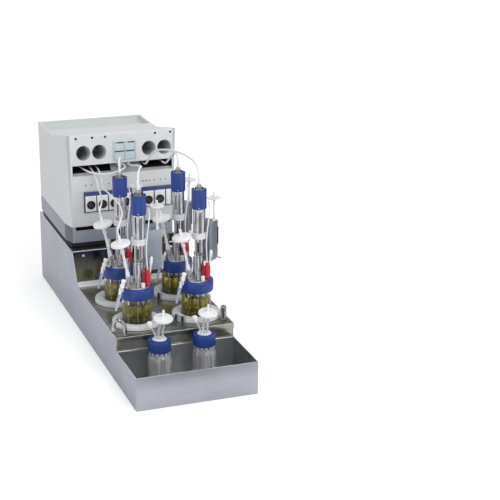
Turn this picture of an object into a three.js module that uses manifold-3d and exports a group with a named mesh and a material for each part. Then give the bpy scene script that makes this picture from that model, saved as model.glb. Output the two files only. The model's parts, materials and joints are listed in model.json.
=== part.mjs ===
// Bench bioreactor: four small stirred vessels on a stepped steel base, with a utility tray
// in front and a gas and sensor module behind. Millimetres, +Z up, the front faces -Y.
// The origin is the middle of the base's underside.

import * as THREE from "three";
import { ConvexGeometry } from "three/addons/geometries/ConvexGeometry.js";
import { mergeVertices } from "three/addons/utils/BufferGeometryUtils.js";
import Module from "manifold-3d";

// ---- driving dimensions -------------------------------------------------------------------

const gap = 0.3; // clearance between pieces that touch

const base = {
  width: 290,
  deckFront: -316,
  back: 478.5,
  deckHeight: 114,
  rearHeight: 192,
  faceFoot: 48, // where the sloped rear face meets the deck
  faceHead: 100, // where it meets the rear top
  coveRadius: 10,
  lipHeight: 14,
  lipDepth: 3,
};

const tray = { depth: 165, height: 80, wall: 2, floor: 2.5 };
const trayBack = base.deckFront + base.lipDepth - gap;

const grid = { centreX: 3.5, pitchX: 148, frontY: -235, rearY: -75 }; // the four vessel places

// Vessels: heights are from the deck.
const glass = {
  radius: 35.5,
  wall: 2.5,
  bottom: 3.5,
  cornerRadius: 7,
  sunk: 30, // how far the vessel stands below the deck
  top: 85.5,
  lip: 1.5,
  lipHeight: 5,
};
const flangeRadius = glass.radius + glass.lip;
const glassFloor = glass.bottom - glass.sunk;
const wellPlay = 0.8; // radial play of the glass in its well
const wellRadius = glass.radius + wellPlay;

const collar = { width: 22.7, height: 10, bevel: 2 };

const ring = { below: 19, above: 8, play: 0.8, wall: 3.7, overlap: 3.4, lip: 2.4, round: 2.5 };
const ringBore = flangeRadius + ring.play;
const ringOpening = flangeRadius - ring.overlap;

const plate = { flangeHeight: 5, play: 0.8, rise: 10 };
const plateTop = glass.top + plate.rise;

const drive = {
  offset: 8, // the stirrer stands this far to the side of the vessel's axis
  nutRim: 2.5,
  nutHeight: 6,
  pillarRadius: 10.5,
  pillar: 98.5,
  grooveAt: 52,
  grooveHeight: 4,
  grooveDepth: 1.2,
  sleeveRim: 1.5,
  sleeveHeight: 16,
  tubeRadius: 15,
  tube: 57.5,
};
const tubeTop = plateTop + drive.pillar + drive.sleeveHeight + drive.tube;

const cap = {
  rim: 3, // how far it stands out round the motor tube
  height: 48,
  recess: 4,
  wall: 2.6,
  notches: 8,
  notchWidth: 4,
  plugRadius: 6.5,
  plugHeight: 16,
};

const shaft = { radius: 4, play: 0.8, clear: 8.5, reach: 34 }; // clear of the floor, into the drive
const impeller = {
  rises: [20.5], // above the vessel's floor
  blades: 6,
  tip: 15,
  hubRim: 3,
  hubHeight: 9,
  disc: 11,
  bladeHeight: 8,
  bladeRoot: 8,
  thickness: 1.4,
};

// Fittings on the head plate: heights are from its top face.
const inletPort = { x: -24.5, y: -18, radius: 4.2, rise: 27.6 };
const inletFilter = {
  lean: 11.5,
  disc: 23,
  discHeight: 7,
  stem: 3.2,
  luer: 4.8,
  stemLength: 82,
  nub: 3.2,
  nubLength: 17,
};

const sensor = { x: 24, y: -13, radius: 6.6, rise: 40, head: 8 };
const condenserPort = { x: 22, y: 16, radius: 4, rise: 32.2 };
const condenser = {
  width: 40,
  depth: 34,
  height: 97,
  fins: 8,
  finThickness: 2,
  plate: 9,
  core: 8,
  reach: 7, // from the stem's axis to the block's near face
  foot: 6.5,
  filterAt: 32, // from the stem's axis to the filter's
  filterDisc: 17,
  filterHeight: 6,
  filterStem: 3,
  stemLength: 72,
  stemAbove: 12, // the stem's length above the filter disc
};
const condenserTurns = [0, 40, 35, 60]; // degrees, by vessel

// The module: heights are from the underside of its housing.
const mat = { height: 12, inset: 3 };
const module_ = {
  width: base.width,
  front: 128,
  back: 453.5,
  baseHeight: 42.1,
  rearTop: 207,
  frontTop: 242.5,
  foldY: 300, // where the side wall's top edge starts to rise
  wedgeY: 345, // front edge of the well
  wall: 6,
  wellDepth: 14,
};
const leftEdge = -module_.width / 2;
const rightEdge = module_.width / 2;
const corner = { width: 11, baseDepth: 42, topDepth: 4 }; // bevel of the front corners

const matTop = base.rearHeight + gap + mat.height;
const moduleBaseBottom = matTop + gap;
const moduleBaseTop = moduleBaseBottom + module_.baseHeight;
const housingBottom = moduleBaseTop + gap;

const holder = {
  radius: 18.5,
  depth: 120,
  tilt: 8,
  height: 194,
  xs: [leftEdge + 45, leftEdge + 86.5, rightEdge - 72.5, rightEdge - 31],
};
const portDots = {
  radius: 2.2,
  depth: 6,
  height: 233,
  xs: [leftEdge + 26, leftEdge + 68, leftEdge + 102, rightEdge - 56, rightEdge - 15],
};
const slot = {
  bottom: 135,
  rise: 9,
  top: 162.5,
  ledge: 22,
  depth: 57,
  leftX: [leftEdge + 15, -27],
  rightX: [55, rightEdge - 11],
  ramp: 37, // depth of the slope between the two slots
};
const cableBoss = { radius: 4.5, set: 8, length: 26, height: 155, xs: [-6, 7, 20] };
const display = { left: -24.5, right: 39, bottom: 166, top: 220, thickness: 2.5, pocket: 1.5 };
const vent = { left: leftEdge + 19, right: rightEdge - 17, height: 9, depth: 18 };

const sockets = {
  bottom: 38,
  top: 92,
  stripe: 10,
  frame: 3,
  depth: 5,
  plate: 1.5,
  pitch: 31,
  drop: 3, // how far the connectors sit below the middle of their plates
  plugRadius: 11,
  plugDepth: 3.5,
  leftStart: leftEdge + 42,
  leftCount: 4,
  rightStart: rightEdge - 94.5,
  rightCount: 2,
  rightTail: 16,
};

const gooseneck = {
  x: -120,
  y: -305,
  endX: -139.5,
  endY: -279,
  rise: 17,
  radius: 4,
  flange: 8,
  foot: 3,
  drop: 13,
  nutRim: 1.8,
};
const post = { x: 128.5, y: -288, radius: 7, height: 38, foot: 8.5, footHeight: 4 };

// Bottles: heights are from the tray's floor.
const bottle = {
  radius: 28,
  height: 105,
  neck: 19.5,
  neckHeight: 22,
  shoulder: 18,
  wall: 2,
  bottom: 2.5,
  standoff: 6.7, // from the tray's back wall
  xs: [-50.5, 58.5],
};
const bottleY = trayBack - tray.wall - bottle.standoff - bottle.radius;
const bottleCap = {
  play: 0.7,
  wall: 6.8,
  below: 23,
  above: 6,
  opening: 2.5,
  lip: 3,
  ribs: 24,
  ribDepth: 0.8,
};
const bottleCapTop = bottle.height + bottleCap.above;
const bottleCapBore = bottle.neck + bottleCap.play;
const bottleCapHole = bottle.neck - bottleCap.opening;
const bottleFilter = {
  clearance: 0.5,
  tubeRadius: 3,
  tubeXs: [-2, 8],
  discRise: 44,
  disc: 23,
  discHeight: 7,
  tilt: 10,
  nubLength: 20,
  sideTube: 2.4,
  sidePlug: 6,
};

const cable = { radius: 2.5, sides: 8, step: 15 };
const line = { radius: 2, sides: 8, step: 12 };

const fine = 20; // sides of the large round pieces
const medium = 12;
const small = 8;
const tiny = 6;

// Upright fittings on the head plate: x, y, radius, rise, sides.
const uprights = [
  [inletPort.x, inletPort.y, inletPort.radius, inletPort.rise, small],
  [inletPort.x, inletPort.y, inletPort.radius + 2, 8, tiny],
  [condenserPort.x, condenserPort.y, condenserPort.radius, condenserPort.rise, small],
  [-4, -25, 5, 12, tiny],
  [-4, -25, 3, 20, tiny],
  [9, -24, 5, 11, tiny],
  [-14, 23, 6, 60, small],
  [4, 26, 4, 46, tiny],
  [-28, -5, 4, 10, tiny],
];
// Rods below the head plate: x, y, radius, height of the lower end above the vessel's floor.
const dipRods = [
  [-14, 23, 5.5, 18.5],
  [4, 26, 3, 12.5],
  [sensor.x, sensor.y, 3, 26.5],
  [inletPort.x, inletPort.y, 2, 4.5],
];
// Leaning fittings on the head plate: the capped tube, then the sampling valve from port to tip.
const slanted = [
  { from: [28.5, -5, -2], to: [34, -7, 52], radii: [2.4, 2.4], sides: tiny },
  { from: [34, -7, 50], to: [35.5, -7.2, 68], radii: [4, 4], sides: tiny },
  { from: [-28, -5, 7], to: [-37, -24, 21.5], radii: [3, 3], sides: tiny },
  { from: [-36, -22.5, 24.5], to: [-50, -31, -9.5], radii: [6, 6], sides: small },
  { from: [-49.5, -30.8, -7.5], to: [-61, -33, -46.5], radii: [4, 2.6], sides: tiny },
];
// The sensor's cable, from its head up to the side of the drive cap. It stands off from the
// motor tube, whose right edge is here.
const tubeEdge = drive.offset + drive.tubeRadius;
const sensorCable = {
  radius: 1.5,
  sides: tiny,
  step: 24,
  points: [
    [sensor.x, sensor.y, sensor.rise - 2],
    [22, -14, 60],
    [tubeEdge - 2, -15, 90],
    [tubeEdge + 0.5, -14, 118],
    [tubeEdge + 5, -11.5, 146],
    [tubeEdge + 8.5, -8, 173],
    [tubeEdge + 6, -6, 190],
  ],
};

// ---- solids -------------------------------------------------------------------------------

const wasm = await Module();
wasm.setup();

// Welds a geometry by position and drops the triangles that collapse at a pole.
function weld(geometry) {
  const bare = geometry.clone();
  for (const name of Object.keys(bare.attributes)) {
    if (name !== "position") bare.deleteAttribute(name);
  }
  const merged = mergeVertices(bare, 1e-4);
  const index = merged.index.array;
  const kept = [];
  for (let i = 0; i < index.length; i += 3) {
    const [a, b, c] = [index[i], index[i + 1], index[i + 2]];
    if (a !== b && b !== c && c !== a) kept.push(a, b, c);
  }
  merged.setIndex(kept);
  return merged;
}

function toSolid(geometry) {
  const welded = weld(geometry);
  const mesh = new wasm.Mesh({
    numProp: 3,
    vertProperties: new Float32Array(welded.attributes.position.array),
    triVerts: new Uint32Array(welded.index.array),
  });
  return new wasm.Manifold(mesh);
}

function toGeometry(solid) {
  const mesh = solid.getMesh();
  const geometry = new THREE.BufferGeometry();
  geometry.setAttribute("position", new THREE.BufferAttribute(new Float32Array(mesh.vertProperties), 3));
  geometry.setIndex(new THREE.BufferAttribute(new Uint32Array(mesh.triVerts), 1));
  geometry.computeVertexNormals();
  return geometry;
}

function join(...geometries) {
  return toGeometry(geometries.map(toSolid).reduce((sum, next) => sum.add(next)));
}

function cut(body, ...tools) {
  return toGeometry(tools.map(toSolid).reduce((rest, tool) => rest.subtract(tool), toSolid(body)));
}

// ---- geometry helpers ---------------------------------------------------------------------

function box(x0, x1, y0, y1, z0, z1) {
  const geometry = new THREE.BoxGeometry(x1 - x0, y1 - y0, z1 - z0);
  return geometry.translate((x0 + x1) / 2, (y0 + y1) / 2, (z0 + z1) / 2);
}

// A round bar along +Z.
function rod(radius, z0, z1, sides = small, x = 0, y = 0) {
  const geometry = new THREE.CylinderGeometry(radius, radius, z1 - z0, sides);
  return geometry.rotateX(Math.PI / 2).translate(x, y, (z0 + z1) / 2);
}

// A round bar from one point to another, with its own radius at each end.
function bar(from, to, radius0, radius1 = radius0, sides = small) {
  const start = new THREE.Vector3(...from);
  const axis = new THREE.Vector3(...to).sub(start);
  const geometry = new THREE.CylinderGeometry(radius1, radius0, axis.length(), sides);
  const up = new THREE.Vector3(0, 1, 0);
  const turn = new THREE.Quaternion().setFromUnitVectors(up, axis.clone().normalize());
  const middle = start.addScaledVector(axis, 0.5);
  return geometry.applyQuaternion(turn).translate(middle.x, middle.y, middle.z);
}

// Turns a closed [radius, height] outline about +Z.
function turned(outline, sides) {
  const points = outline.map(([r, z]) => new THREE.Vector2(r, z));
  return new THREE.LatheGeometry(points, sides).rotateX(Math.PI / 2);
}

// Points on a quarter circle, from one angle to another, in degrees.
function arc(r, z, radius, from, to, steps = 2) {
  const points = [];
  for (let i = 0; i <= steps; i += 1) {
    const angle = THREE.MathUtils.degToRad(from + ((to - from) * i) / steps);
    points.push([r + radius * Math.cos(angle), z + radius * Math.sin(angle)]);
  }
  return points;
}

// Extrudes a side outline of [y, z] points across the width, from x0 to x1.
function acrossWidth(outline, x0, x1) {
  const shape = new THREE.Shape(outline.map(([y, z]) => new THREE.Vector2(y, z)));
  const geometry = new THREE.ExtrudeGeometry(shape, { depth: x1 - x0, bevelEnabled: false });
  const toSide = new THREE.Matrix4().makeBasis(
    new THREE.Vector3(0, 1, 0),
    new THREE.Vector3(0, 0, 1),
    new THREE.Vector3(1, 0, 0),
  );
  return geometry.applyMatrix4(toSide).translate(x0, 0, 0);
}

// A round tube with flat ends along a smooth curve through the points.
function tube(points, radius, sides, step) {
  const path = new THREE.CatmullRomCurve3(points.map((p) => new THREE.Vector3(...p)), false, "centripetal");
  const section = new THREE.Shape();
  for (let i = 0; i < sides; i += 1) {
    const angle = (2 * Math.PI * i) / sides;
    const corner2 = [radius * Math.cos(angle), radius * Math.sin(angle)];
    if (i === 0) section.moveTo(...corner2);
    else section.lineTo(...corner2);
  }
  section.closePath();
  const steps = Math.ceil(path.getLength() / step);
  return new THREE.ExtrudeGeometry(section, { steps, bevelEnabled: false, extrudePath: path });
}

// ---- finishes -----------------------------------------------------------------------------

function finish(color, roughness, metalness = 0) {
  return new THREE.MeshStandardMaterial({ color, roughness, metalness });
}

const finishes = {
  brushedSteel: finish(0xb4b7bc, 0.35, 0.9),
  polishedSteel: finish(0xc9c9cc, 0.15, 1),
  lightGrey: finish(0xd3d5d6, 0.5),
  midGrey: finish(0x83868c, 0.55),
  blackRubber: finish(0x17181a, 0.8),
  blue: finish(0x2747a5, 0.45),
  white: finish(0xeeeef0, 0.5),
  paleGrey: finish(0xcfd3d6, 0.5),
  clearGlass: finish(0xdfe8e6, 0.05),
  anodised: finish(0x8f9698, 0.5, 0.6),
  screen: finish(0xc4dfe2, 0.2),
};

const bioreactor = new THREE.Group();

function add(name, geometry, material, parent = bioreactor) {
  const mesh = new THREE.Mesh(geometry, material);
  mesh.name = name;
  parent.add(mesh);
  return mesh;
}

// ---- base ---------------------------------------------------------------------------------

const vesselPlaces = [
  [grid.centreX - grid.pitchX / 2, grid.frontY],
  [grid.centreX + grid.pitchX / 2, grid.frontY],
  [grid.centreX - grid.pitchX / 2, grid.rearY],
  [grid.centreX + grid.pitchX / 2, grid.rearY],
];

function baseOutline() {
  const slope = Math.atan2(base.rearHeight - base.deckHeight, base.faceHead - base.faceFoot);
  const reach = base.coveRadius * Math.tan(slope / 2);
  const centreY = base.faceFoot - reach;
  const centreZ = base.deckHeight + base.coveRadius;
  const cove = arc(centreY, centreZ, base.coveRadius, -90, -90 + THREE.MathUtils.radToDeg(slope), 4);
  const lipUnderside = base.deckHeight - base.lipHeight;
  return [
    [base.deckFront + base.lipDepth, 0],
    [base.back, 0],
    [base.back, base.rearHeight],
    [base.faceHead, base.rearHeight],
    ...cove.reverse(),
    [base.deckFront, base.deckHeight],
    [base.deckFront, lipUnderside],
    [base.deckFront + base.lipDepth, lipUnderside],
  ];
}

function makeBaseHousing() {
  const floor = base.deckHeight - glass.sunk - gap;
  const wells = vesselPlaces.map(([x, y]) => rod(wellRadius, floor, base.deckHeight + 1, fine, x, y));
  return cut(acrossWidth(baseOutline(), -base.width / 2, base.width / 2), ...wells);
}

function makeTray() {
  const half = base.width / 2;
  const front = trayBack - tray.depth;
  const inside = box(
    -half + tray.wall,
    half - tray.wall,
    front + tray.wall,
    trayBack - tray.wall,
    tray.floor,
    tray.height + 1,
  );
  return cut(box(-half, half, front, trayBack, 0, tray.height), inside);
}

function makeCollar() {
  const outer = wellRadius + collar.width;
  const outline = [
    [wellRadius, gap],
    [outer, gap],
    [outer, collar.height - collar.bevel],
    [outer - collar.bevel, collar.height],
    [wellRadius, collar.height],
    [wellRadius, gap],
  ];
  return turned(outline, fine);
}

function makeGooseneck() {
  const { x, y, endX, endY, rise, radius, flange, foot, drop, nutRim } = gooseneck;
  const half = Math.hypot(endX - x, endY - y) / 2;
  const points = [[x, y, foot / 2], [x, y, rise]];
  for (let i = 1; i <= 6; i += 1) {
    const angle = (Math.PI * i) / 6;
    const along = (1 - Math.cos(angle)) / 2;
    points.push([x + (endX - x) * along, y + (endY - y) * along, rise + half * Math.sin(angle)]);
  }
  points.push([endX, endY, rise - drop / 2]);
  const bend = tube(points, radius, small, 5);
  const nut = rod(radius + nutRim, rise - drop, rise - drop / 2, small, endX, endY);
  return join(rod(flange, gap, foot, medium, x, y), bend, nut);
}

function makePost() {
  const { radius, height, foot, footHeight } = post;
  const dome = arc(0, height - radius, radius, 0, 90, 4);
  dome[dome.length - 1][0] = 0;
  return turned([[0, gap], [foot, gap], [foot, footHeight], [radius, footHeight], ...dome], medium);
}

function buildBase() {
  add("base_housing", makeBaseHousing(), finishes.brushedSteel);
  add("utility_tray", makeTray(), finishes.brushedSteel);
  const deck = new THREE.Group();
  deck.position.z = base.deckHeight;
  bioreactor.add(deck);
  vesselPlaces.forEach(([x, y], i) => {
    add(`well_collar_${i + 1}`, makeCollar(), finishes.paleGrey, deck).position.set(x, y, 0);
  });
  add("gooseneck", makeGooseneck(), finishes.polishedSteel, deck);
  add("guide_post", makePost(), finishes.polishedSteel, deck).position.set(post.x, post.y, 0);
}

// ---- vessels ------------------------------------------------------------------------------

function makeGlass() {
  const { radius, wall, cornerRadius, sunk, top, lipHeight } = glass;
  const inner = radius - wall;
  const innerCorner = cornerRadius - wall;
  const outline = [
    [0, -sunk],
    ...arc(radius - cornerRadius, -sunk + cornerRadius, cornerRadius, -90, 0),
    [radius, top - lipHeight],
    [flangeRadius, top - lipHeight],
    [flangeRadius, top],
    [inner, top],
    ...arc(inner - innerCorner, glassFloor + innerCorner, innerCorner, 0, -90),
    [0, glassFloor],
  ];
  return turned(outline, fine);
}

function makeScrewRing() {
  const radius = ringBore + ring.wall;
  const bottom = glass.top - ring.below;
  const top = glass.top + ring.above;
  const outline = [
    [ringBore, bottom],
    [radius - ring.round / 2, bottom],
    [radius, bottom + ring.round / 2],
    ...arc(radius - ring.round, top - ring.round, ring.round, 0, 90, 2),
    [ringOpening, top],
    [ringOpening, top - ring.lip],
    [ringBore, top - ring.lip],
    [ringBore, bottom],
  ];
  return turned(outline, fine);
}

// Lid with all that it carries: inlet, sensors and their cable, sampling valve and dip rods.
// It is made with its top face at zero and then lifted onto the glass.
function makeHeadPlate() {
  const seat = glass.top + gap - plateTop;
  const buried = -2;
  const standing = uprights.map(([x, y, radius, rise, sides]) => rod(radius, buried, rise, sides, x, y));
  const dipping = dipRods.map(([x, y, radius, above]) =>
    rod(radius, glassFloor + above - plateTop, seat + 1, tiny, x, y),
  );
  const { x, y, radius } = sensor;
  const neck = sensor.rise - sensor.head;
  const pieces = [
    rod(flangeRadius - gap, seat, seat + plate.flangeHeight - gap, fine),
    rod(ringOpening - plate.play, seat, 0, fine),
    ...standing,
    ...dipping,
    rod(radius, buried, neck, medium, x, y),
    bar([x, y, neck], [x, y, sensor.rise], radius - 2, radius - 3),
    ...slanted.map(({ from, to, radii, sides }) => bar(from, to, ...radii, sides)),
    tube(sensorCable.points, sensorCable.radius, sensorCable.sides, sensorCable.step),
  ];
  const bore = rod(shaft.radius + shaft.play, seat - 1, 1, small, drive.offset, 0);
  return cut(join(...pieces), bore).translate(0, 0, plateTop);
}

function makeDriveHousing() {
  const bore = shaft.radius + shaft.play;
  const d = drive;
  const foot = plateTop + gap;
  const nutTop = foot + d.nutHeight;
  const groove = plateTop + d.grooveAt;
  const waist = d.pillarRadius - d.grooveDepth;
  const pillarTop = plateTop + d.pillar;
  const sleeveTop = pillarTop + d.sleeveHeight;
  const boreTop = plateTop + shaft.reach + 4;
  const outline = [
    [0, boreTop],
    [bore, boreTop],
    [bore, foot],
    [d.pillarRadius + d.nutRim, foot],
    [d.pillarRadius + d.nutRim, nutTop],
    [d.pillarRadius, nutTop],
    [d.pillarRadius, groove],
    [waist, groove],
    [waist, groove + d.grooveHeight],
    [d.pillarRadius, groove + d.grooveHeight],
    [d.pillarRadius, pillarTop],
    [d.tubeRadius + d.sleeveRim, pillarTop],
    [d.tubeRadius + d.sleeveRim, sleeveTop],
    [d.tubeRadius, sleeveTop],
    [d.tubeRadius, tubeTop],
    [0, tubeTop],
  ];
  return turned(outline, medium);
}

function makeDriveCap() {
  const radius = drive.tubeRadius + cap.rim;
  const foot = tubeTop + gap;
  const top = foot + cap.height;
  const floor = top - cap.recess;
  const outline = [[0, foot], [radius, foot], [radius, top - 1], [radius - 1, top], [0, top]];
  const body = turned(outline, medium + 6);
  const recess = rod(radius - cap.wall, floor, top + 1, medium);
  const notches = [];
  const half = cap.notchWidth / 2;
  for (let i = 0; i < cap.notches / 2; i += 1) {
    const notch = box(-radius - 1, radius + 1, -half, half, floor, top + 1);
    notches.push(notch.rotateZ((2 * Math.PI * (i + 0.5)) / cap.notches));
  }
  const plug = rod(cap.plugRadius, floor - 1, floor + cap.plugHeight, medium);
  return join(cut(body, recess, ...notches), plug);
}

// Shaft with disc turbines: flat blades stand round the rim of each disc.
function makeStirrer() {
  const pieces = [rod(shaft.radius, glassFloor + shaft.clear, plateTop + shaft.reach, small)];
  const { hubHeight, thickness, bladeHeight, bladeRoot, tip } = impeller;
  for (const rise of impeller.rises) {
    const level = glassFloor + rise;
    pieces.push(rod(shaft.radius + impeller.hubRim, level - hubHeight / 2, level + hubHeight / 2, small));
    pieces.push(rod(impeller.disc, level - thickness / 2, level + thickness / 2, small));
    for (let i = 0; i < impeller.blades; i += 1) {
      const low = level - bladeHeight / 2;
      const blade = box(bladeRoot, tip, -thickness / 2, thickness / 2, low, low + bladeHeight);
      pieces.push(blade.rotateZ((2 * Math.PI * i) / impeller.blades));
    }
  }
  return join(...pieces);
}

// Cooling block on its stem, with fins behind its smooth face and the exhaust filter on top. The
// stem is the local axis.
function makeCondenser() {
  const c = condenser;
  const bottom = plateTop + condenserPort.rise + gap;
  const top = bottom + c.height;
  const x0 = c.reach;
  const x1 = x0 + c.width;
  const coreBack = c.core - c.depth / 2;
  const pieces = [
    box(x0, x1, -c.depth / 2, coreBack, bottom, top),
    box(x1 - c.plate, x1, -c.depth / 2, c.depth / 2, bottom, top),
    box(-c.foot, x1 - 1, -c.foot, c.foot, bottom, bottom + c.foot),
  ];
  const span = c.width - c.plate;
  const spacing = span / c.fins;
  for (let i = 0; i < c.fins; i += 1) {
    const x = x0 + i * spacing;
    pieces.push(box(x, x + c.finThickness, coreBack - 1, c.depth / 2, bottom, top));
  }
  const stemTop = top + c.stemLength;
  const discTop = stemTop - c.stemAbove;
  const coreY = coreBack - c.core / 2;
  pieces.push(rod(c.filterStem, top - 1, stemTop, small, c.filterAt, coreY));
  pieces.push(rod(c.filterDisc, discTop - c.filterHeight, discTop, medium, c.filterAt, coreY));
  return join(...pieces);
}

function makeInletFilter() {
  const f = inletFilter;
  const discTop = f.stemLength + f.discHeight;
  const seat = gap + f.luer * Math.sin(THREE.MathUtils.degToRad(f.lean));
  const outline = [
    [0, seat],
    [f.luer, seat],
    [f.luer, 13],
    [f.stem, 15],
    [f.stem, f.stemLength - 22],
    [f.luer, f.stemLength - 20],
    [f.luer, f.stemLength - 6],
    [f.disc - 3, f.stemLength],
    [f.disc, f.stemLength + 1.5],
    [f.disc, discTop - 2],
    [f.disc - 3, discTop],
    [f.nub + 1, discTop + 3],
    [f.nub, discTop + f.nubLength],
    [0, discTop + f.nubLength],
  ];
  return turned(outline, medium);
}

function buildVessels() {
  const glassShape = makeGlass();
  const ringShape = makeScrewRing();
  const plateShape = makeHeadPlate();
  const housingShape = makeDriveHousing();
  const capShape = makeDriveCap();
  const stirrerShape = makeStirrer();
  const condenserShape = makeCondenser();
  const filterShape = makeInletFilter();
  vesselPlaces.forEach(([x, y], i) => {
    const number = i + 1;
    const place = new THREE.Group();
    place.position.set(x, y, base.deckHeight);
    bioreactor.add(place);
    add(`vessel_glass_${number}`, glassShape, finishes.clearGlass, place);
    add(`screw_ring_${number}`, ringShape, finishes.blue, place);
    add(`head_plate_${number}`, plateShape, finishes.polishedSteel, place);
    const driveLine = new THREE.Group();
    driveLine.position.x = drive.offset;
    place.add(driveLine);
    add(`drive_housing_${number}`, housingShape, finishes.polishedSteel, driveLine);
    add(`drive_cap_${number}`, capShape, finishes.blue, driveLine);
    add(`stirrer_${number}`, stirrerShape, finishes.polishedSteel, driveLine);
    const cooler = add(`condenser_${number}`, condenserShape, finishes.anodised, place);
    cooler.position.set(condenserPort.x, condenserPort.y, 0);
    cooler.rotation.z = THREE.MathUtils.degToRad(condenserTurns[i]);
    const filter = add(`inlet_filter_${number}`, filterShape, finishes.white, place);
    filter.position.set(inletPort.x, inletPort.y, plateTop + inletPort.rise);
    filter.rotation.y = THREE.MathUtils.degToRad(-inletFilter.lean);
  });
}

// ---- gas and sensor module ------------------------------------------------------------------

// The wedge that a front corner loses: it reaches further back at the bottom than at the top.
function cornerWedge(side, front, bottom, top, bottomDepth, topDepth) {
  const edge = (side * module_.width) / 2;
  const points = [];
  for (const [z, depth] of [[bottom, bottomDepth], [top, topDepth]]) {
    points.push(new THREE.Vector3(edge + side, front - 1, z));
    points.push(new THREE.Vector3(edge - side * corner.width, front - 1, z));
    points.push(new THREE.Vector3(edge - side * corner.width, front, z));
    points.push(new THREE.Vector3(edge, front + depth, z));
    points.push(new THREE.Vector3(edge + side, front + depth, z));
  }
  return new ConvexGeometry(points);
}

function makeMat() {
  const half = module_.width / 2 - mat.inset;
  const front = module_.front + mat.inset;
  const block = box(-half, half, front, module_.back - mat.inset, base.rearHeight + gap, matTop);
  const wedges = [-1, 1].map((side) =>
    cornerWedge(side, front, base.rearHeight, matTop + 1, corner.baseDepth, corner.baseDepth),
  );
  return cut(block, ...wedges);
}

function makeModuleBase() {
  const { front, back } = module_;
  const block = box(leftEdge, rightEdge, front, back, moduleBaseBottom, moduleBaseTop);
  const wedges = [-1, 1].map((side) =>
    cornerWedge(side, front, moduleBaseBottom - 1, moduleBaseTop + 1, corner.baseDepth, corner.baseDepth),
  );
  const ventBottom = moduleBaseTop - vent.height;
  const ventCut = box(vent.left, vent.right, front - 1, front + vent.depth, ventBottom, moduleBaseTop + 1);
  return cut(block, ...wedges, ventCut);
}

// The housing is made with its underside at zero and then lifted onto the base.
function slotCut([x0, x1]) {
  const y = module_.front;
  const outline = [
    [y - 1, slot.bottom],
    [y, slot.bottom],
    [y + slot.ledge, slot.bottom + slot.rise],
    [y + slot.depth, slot.bottom + slot.rise],
    [y + slot.depth, slot.top],
    [y - 1, slot.top],
  ];
  return acrossWidth(outline, x0, x1);
}

function rampCut() {
  const y = module_.front;
  const outline = [[y - 1, slot.bottom], [y, slot.bottom], [y + slot.ramp, slot.top], [y - 1, slot.top]];
  return acrossWidth(outline, slot.leftX[1] - 1, slot.rightX[0] + 1);
}

function holderCut(x) {
  const tilt = THREE.MathUtils.degToRad(holder.tilt);
  const at = (depth) => [x, module_.front + depth * Math.cos(tilt), holder.height - depth * Math.sin(tilt)];
  return bar(at(-6), at(holder.depth), holder.radius, holder.radius, medium + 6);
}

function makeModuleHousing() {
  const m = module_;
  const outline = [
    [m.front, 0],
    [m.back, 0],
    [m.back, m.rearTop],
    [m.foldY, m.rearTop],
    [m.front, m.frontTop],
  ];
  const wedges = [-1, 1].map((side) =>
    cornerWedge(side, m.front, -1, m.frontTop + 1, corner.baseDepth, corner.topDepth),
  );
  const wellFloor = m.rearTop - m.wellDepth;
  const wellBack = m.back - m.wall;
  const well = box(leftEdge + m.wall, rightEdge - m.wall, m.wedgeY, wellBack, wellFloor, m.rearTop + 1);
  const dots = portDots.xs.map((x) =>
    bar([x, m.front - 1, portDots.height], [x, m.front + portDots.depth, portDots.height], portDots.radius),
  );
  const { left, right, bottom, top, pocket } = display;
  const panel = box(left, right, m.front - 1, m.front + pocket, bottom, top);
  const slots = [slotCut(slot.leftX), slotCut(slot.rightX), rampCut()];
  const shell = acrossWidth(outline, leftEdge, rightEdge);
  const body = cut(shell, ...wedges, well, panel, ...slots, ...holder.xs.map(holderCut), ...dots);
  const bossY = m.front + cableBoss.set;
  const bosses = cableBoss.xs.map((x) =>
    bar([x, bossY, cableBoss.height], [x, bossY + cableBoss.length, cableBoss.height], cableBoss.radius),
  );
  return join(body, ...bosses).translate(0, 0, housingBottom);
}

function makeDisplay() {
  const { left, right, bottom, top, thickness, pocket } = display;
  const y = module_.front + pocket - gap;
  const panel = box(left + gap, right - gap, y - thickness, y, bottom + gap, top - gap);
  return panel.translate(0, 0, housingBottom);
}

// A row of sensor inputs in one dark frame: a plate and a round connector for each.
function makeSocketBlock(start, count, tail) {
  const s = sockets;
  const back = module_.front - gap;
  const front = back - s.depth;
  const pieces = [box(start, start + s.frame + count * s.pitch + tail, front, back, s.bottom, s.top)];
  const half = (s.pitch - s.frame) / 2;
  const low = s.bottom + s.frame;
  const high = s.top - s.stripe;
  const z = (low + high) / 2 - s.drop;
  for (let i = 0; i < count; i += 1) {
    const x = start + s.frame + i * s.pitch + half;
    const tip = front - s.plate - s.plugDepth;
    pieces.push(box(x - half, x + half, front - s.plate, back, low, high));
    pieces.push(bar([x, back - 2, z], [x, tip, z], s.plugRadius, s.plugRadius, medium));
  }
  return join(...pieces).translate(0, 0, housingBottom);
}

function buildModule() {
  add("rubber_mat", makeMat(), finishes.blackRubber);
  add("module_base", makeModuleBase(), finishes.midGrey);
  add("module_housing", makeModuleHousing(), finishes.lightGrey);
  add("display", makeDisplay(), finishes.screen);
  add("sensor_inputs_left", makeSocketBlock(sockets.leftStart, sockets.leftCount, 0), finishes.white);
  const right = makeSocketBlock(sockets.rightStart, sockets.rightCount, sockets.rightTail);
  add("sensor_inputs_right", right, finishes.white);
}

// ---- bottles in the tray --------------------------------------------------------------------

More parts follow.
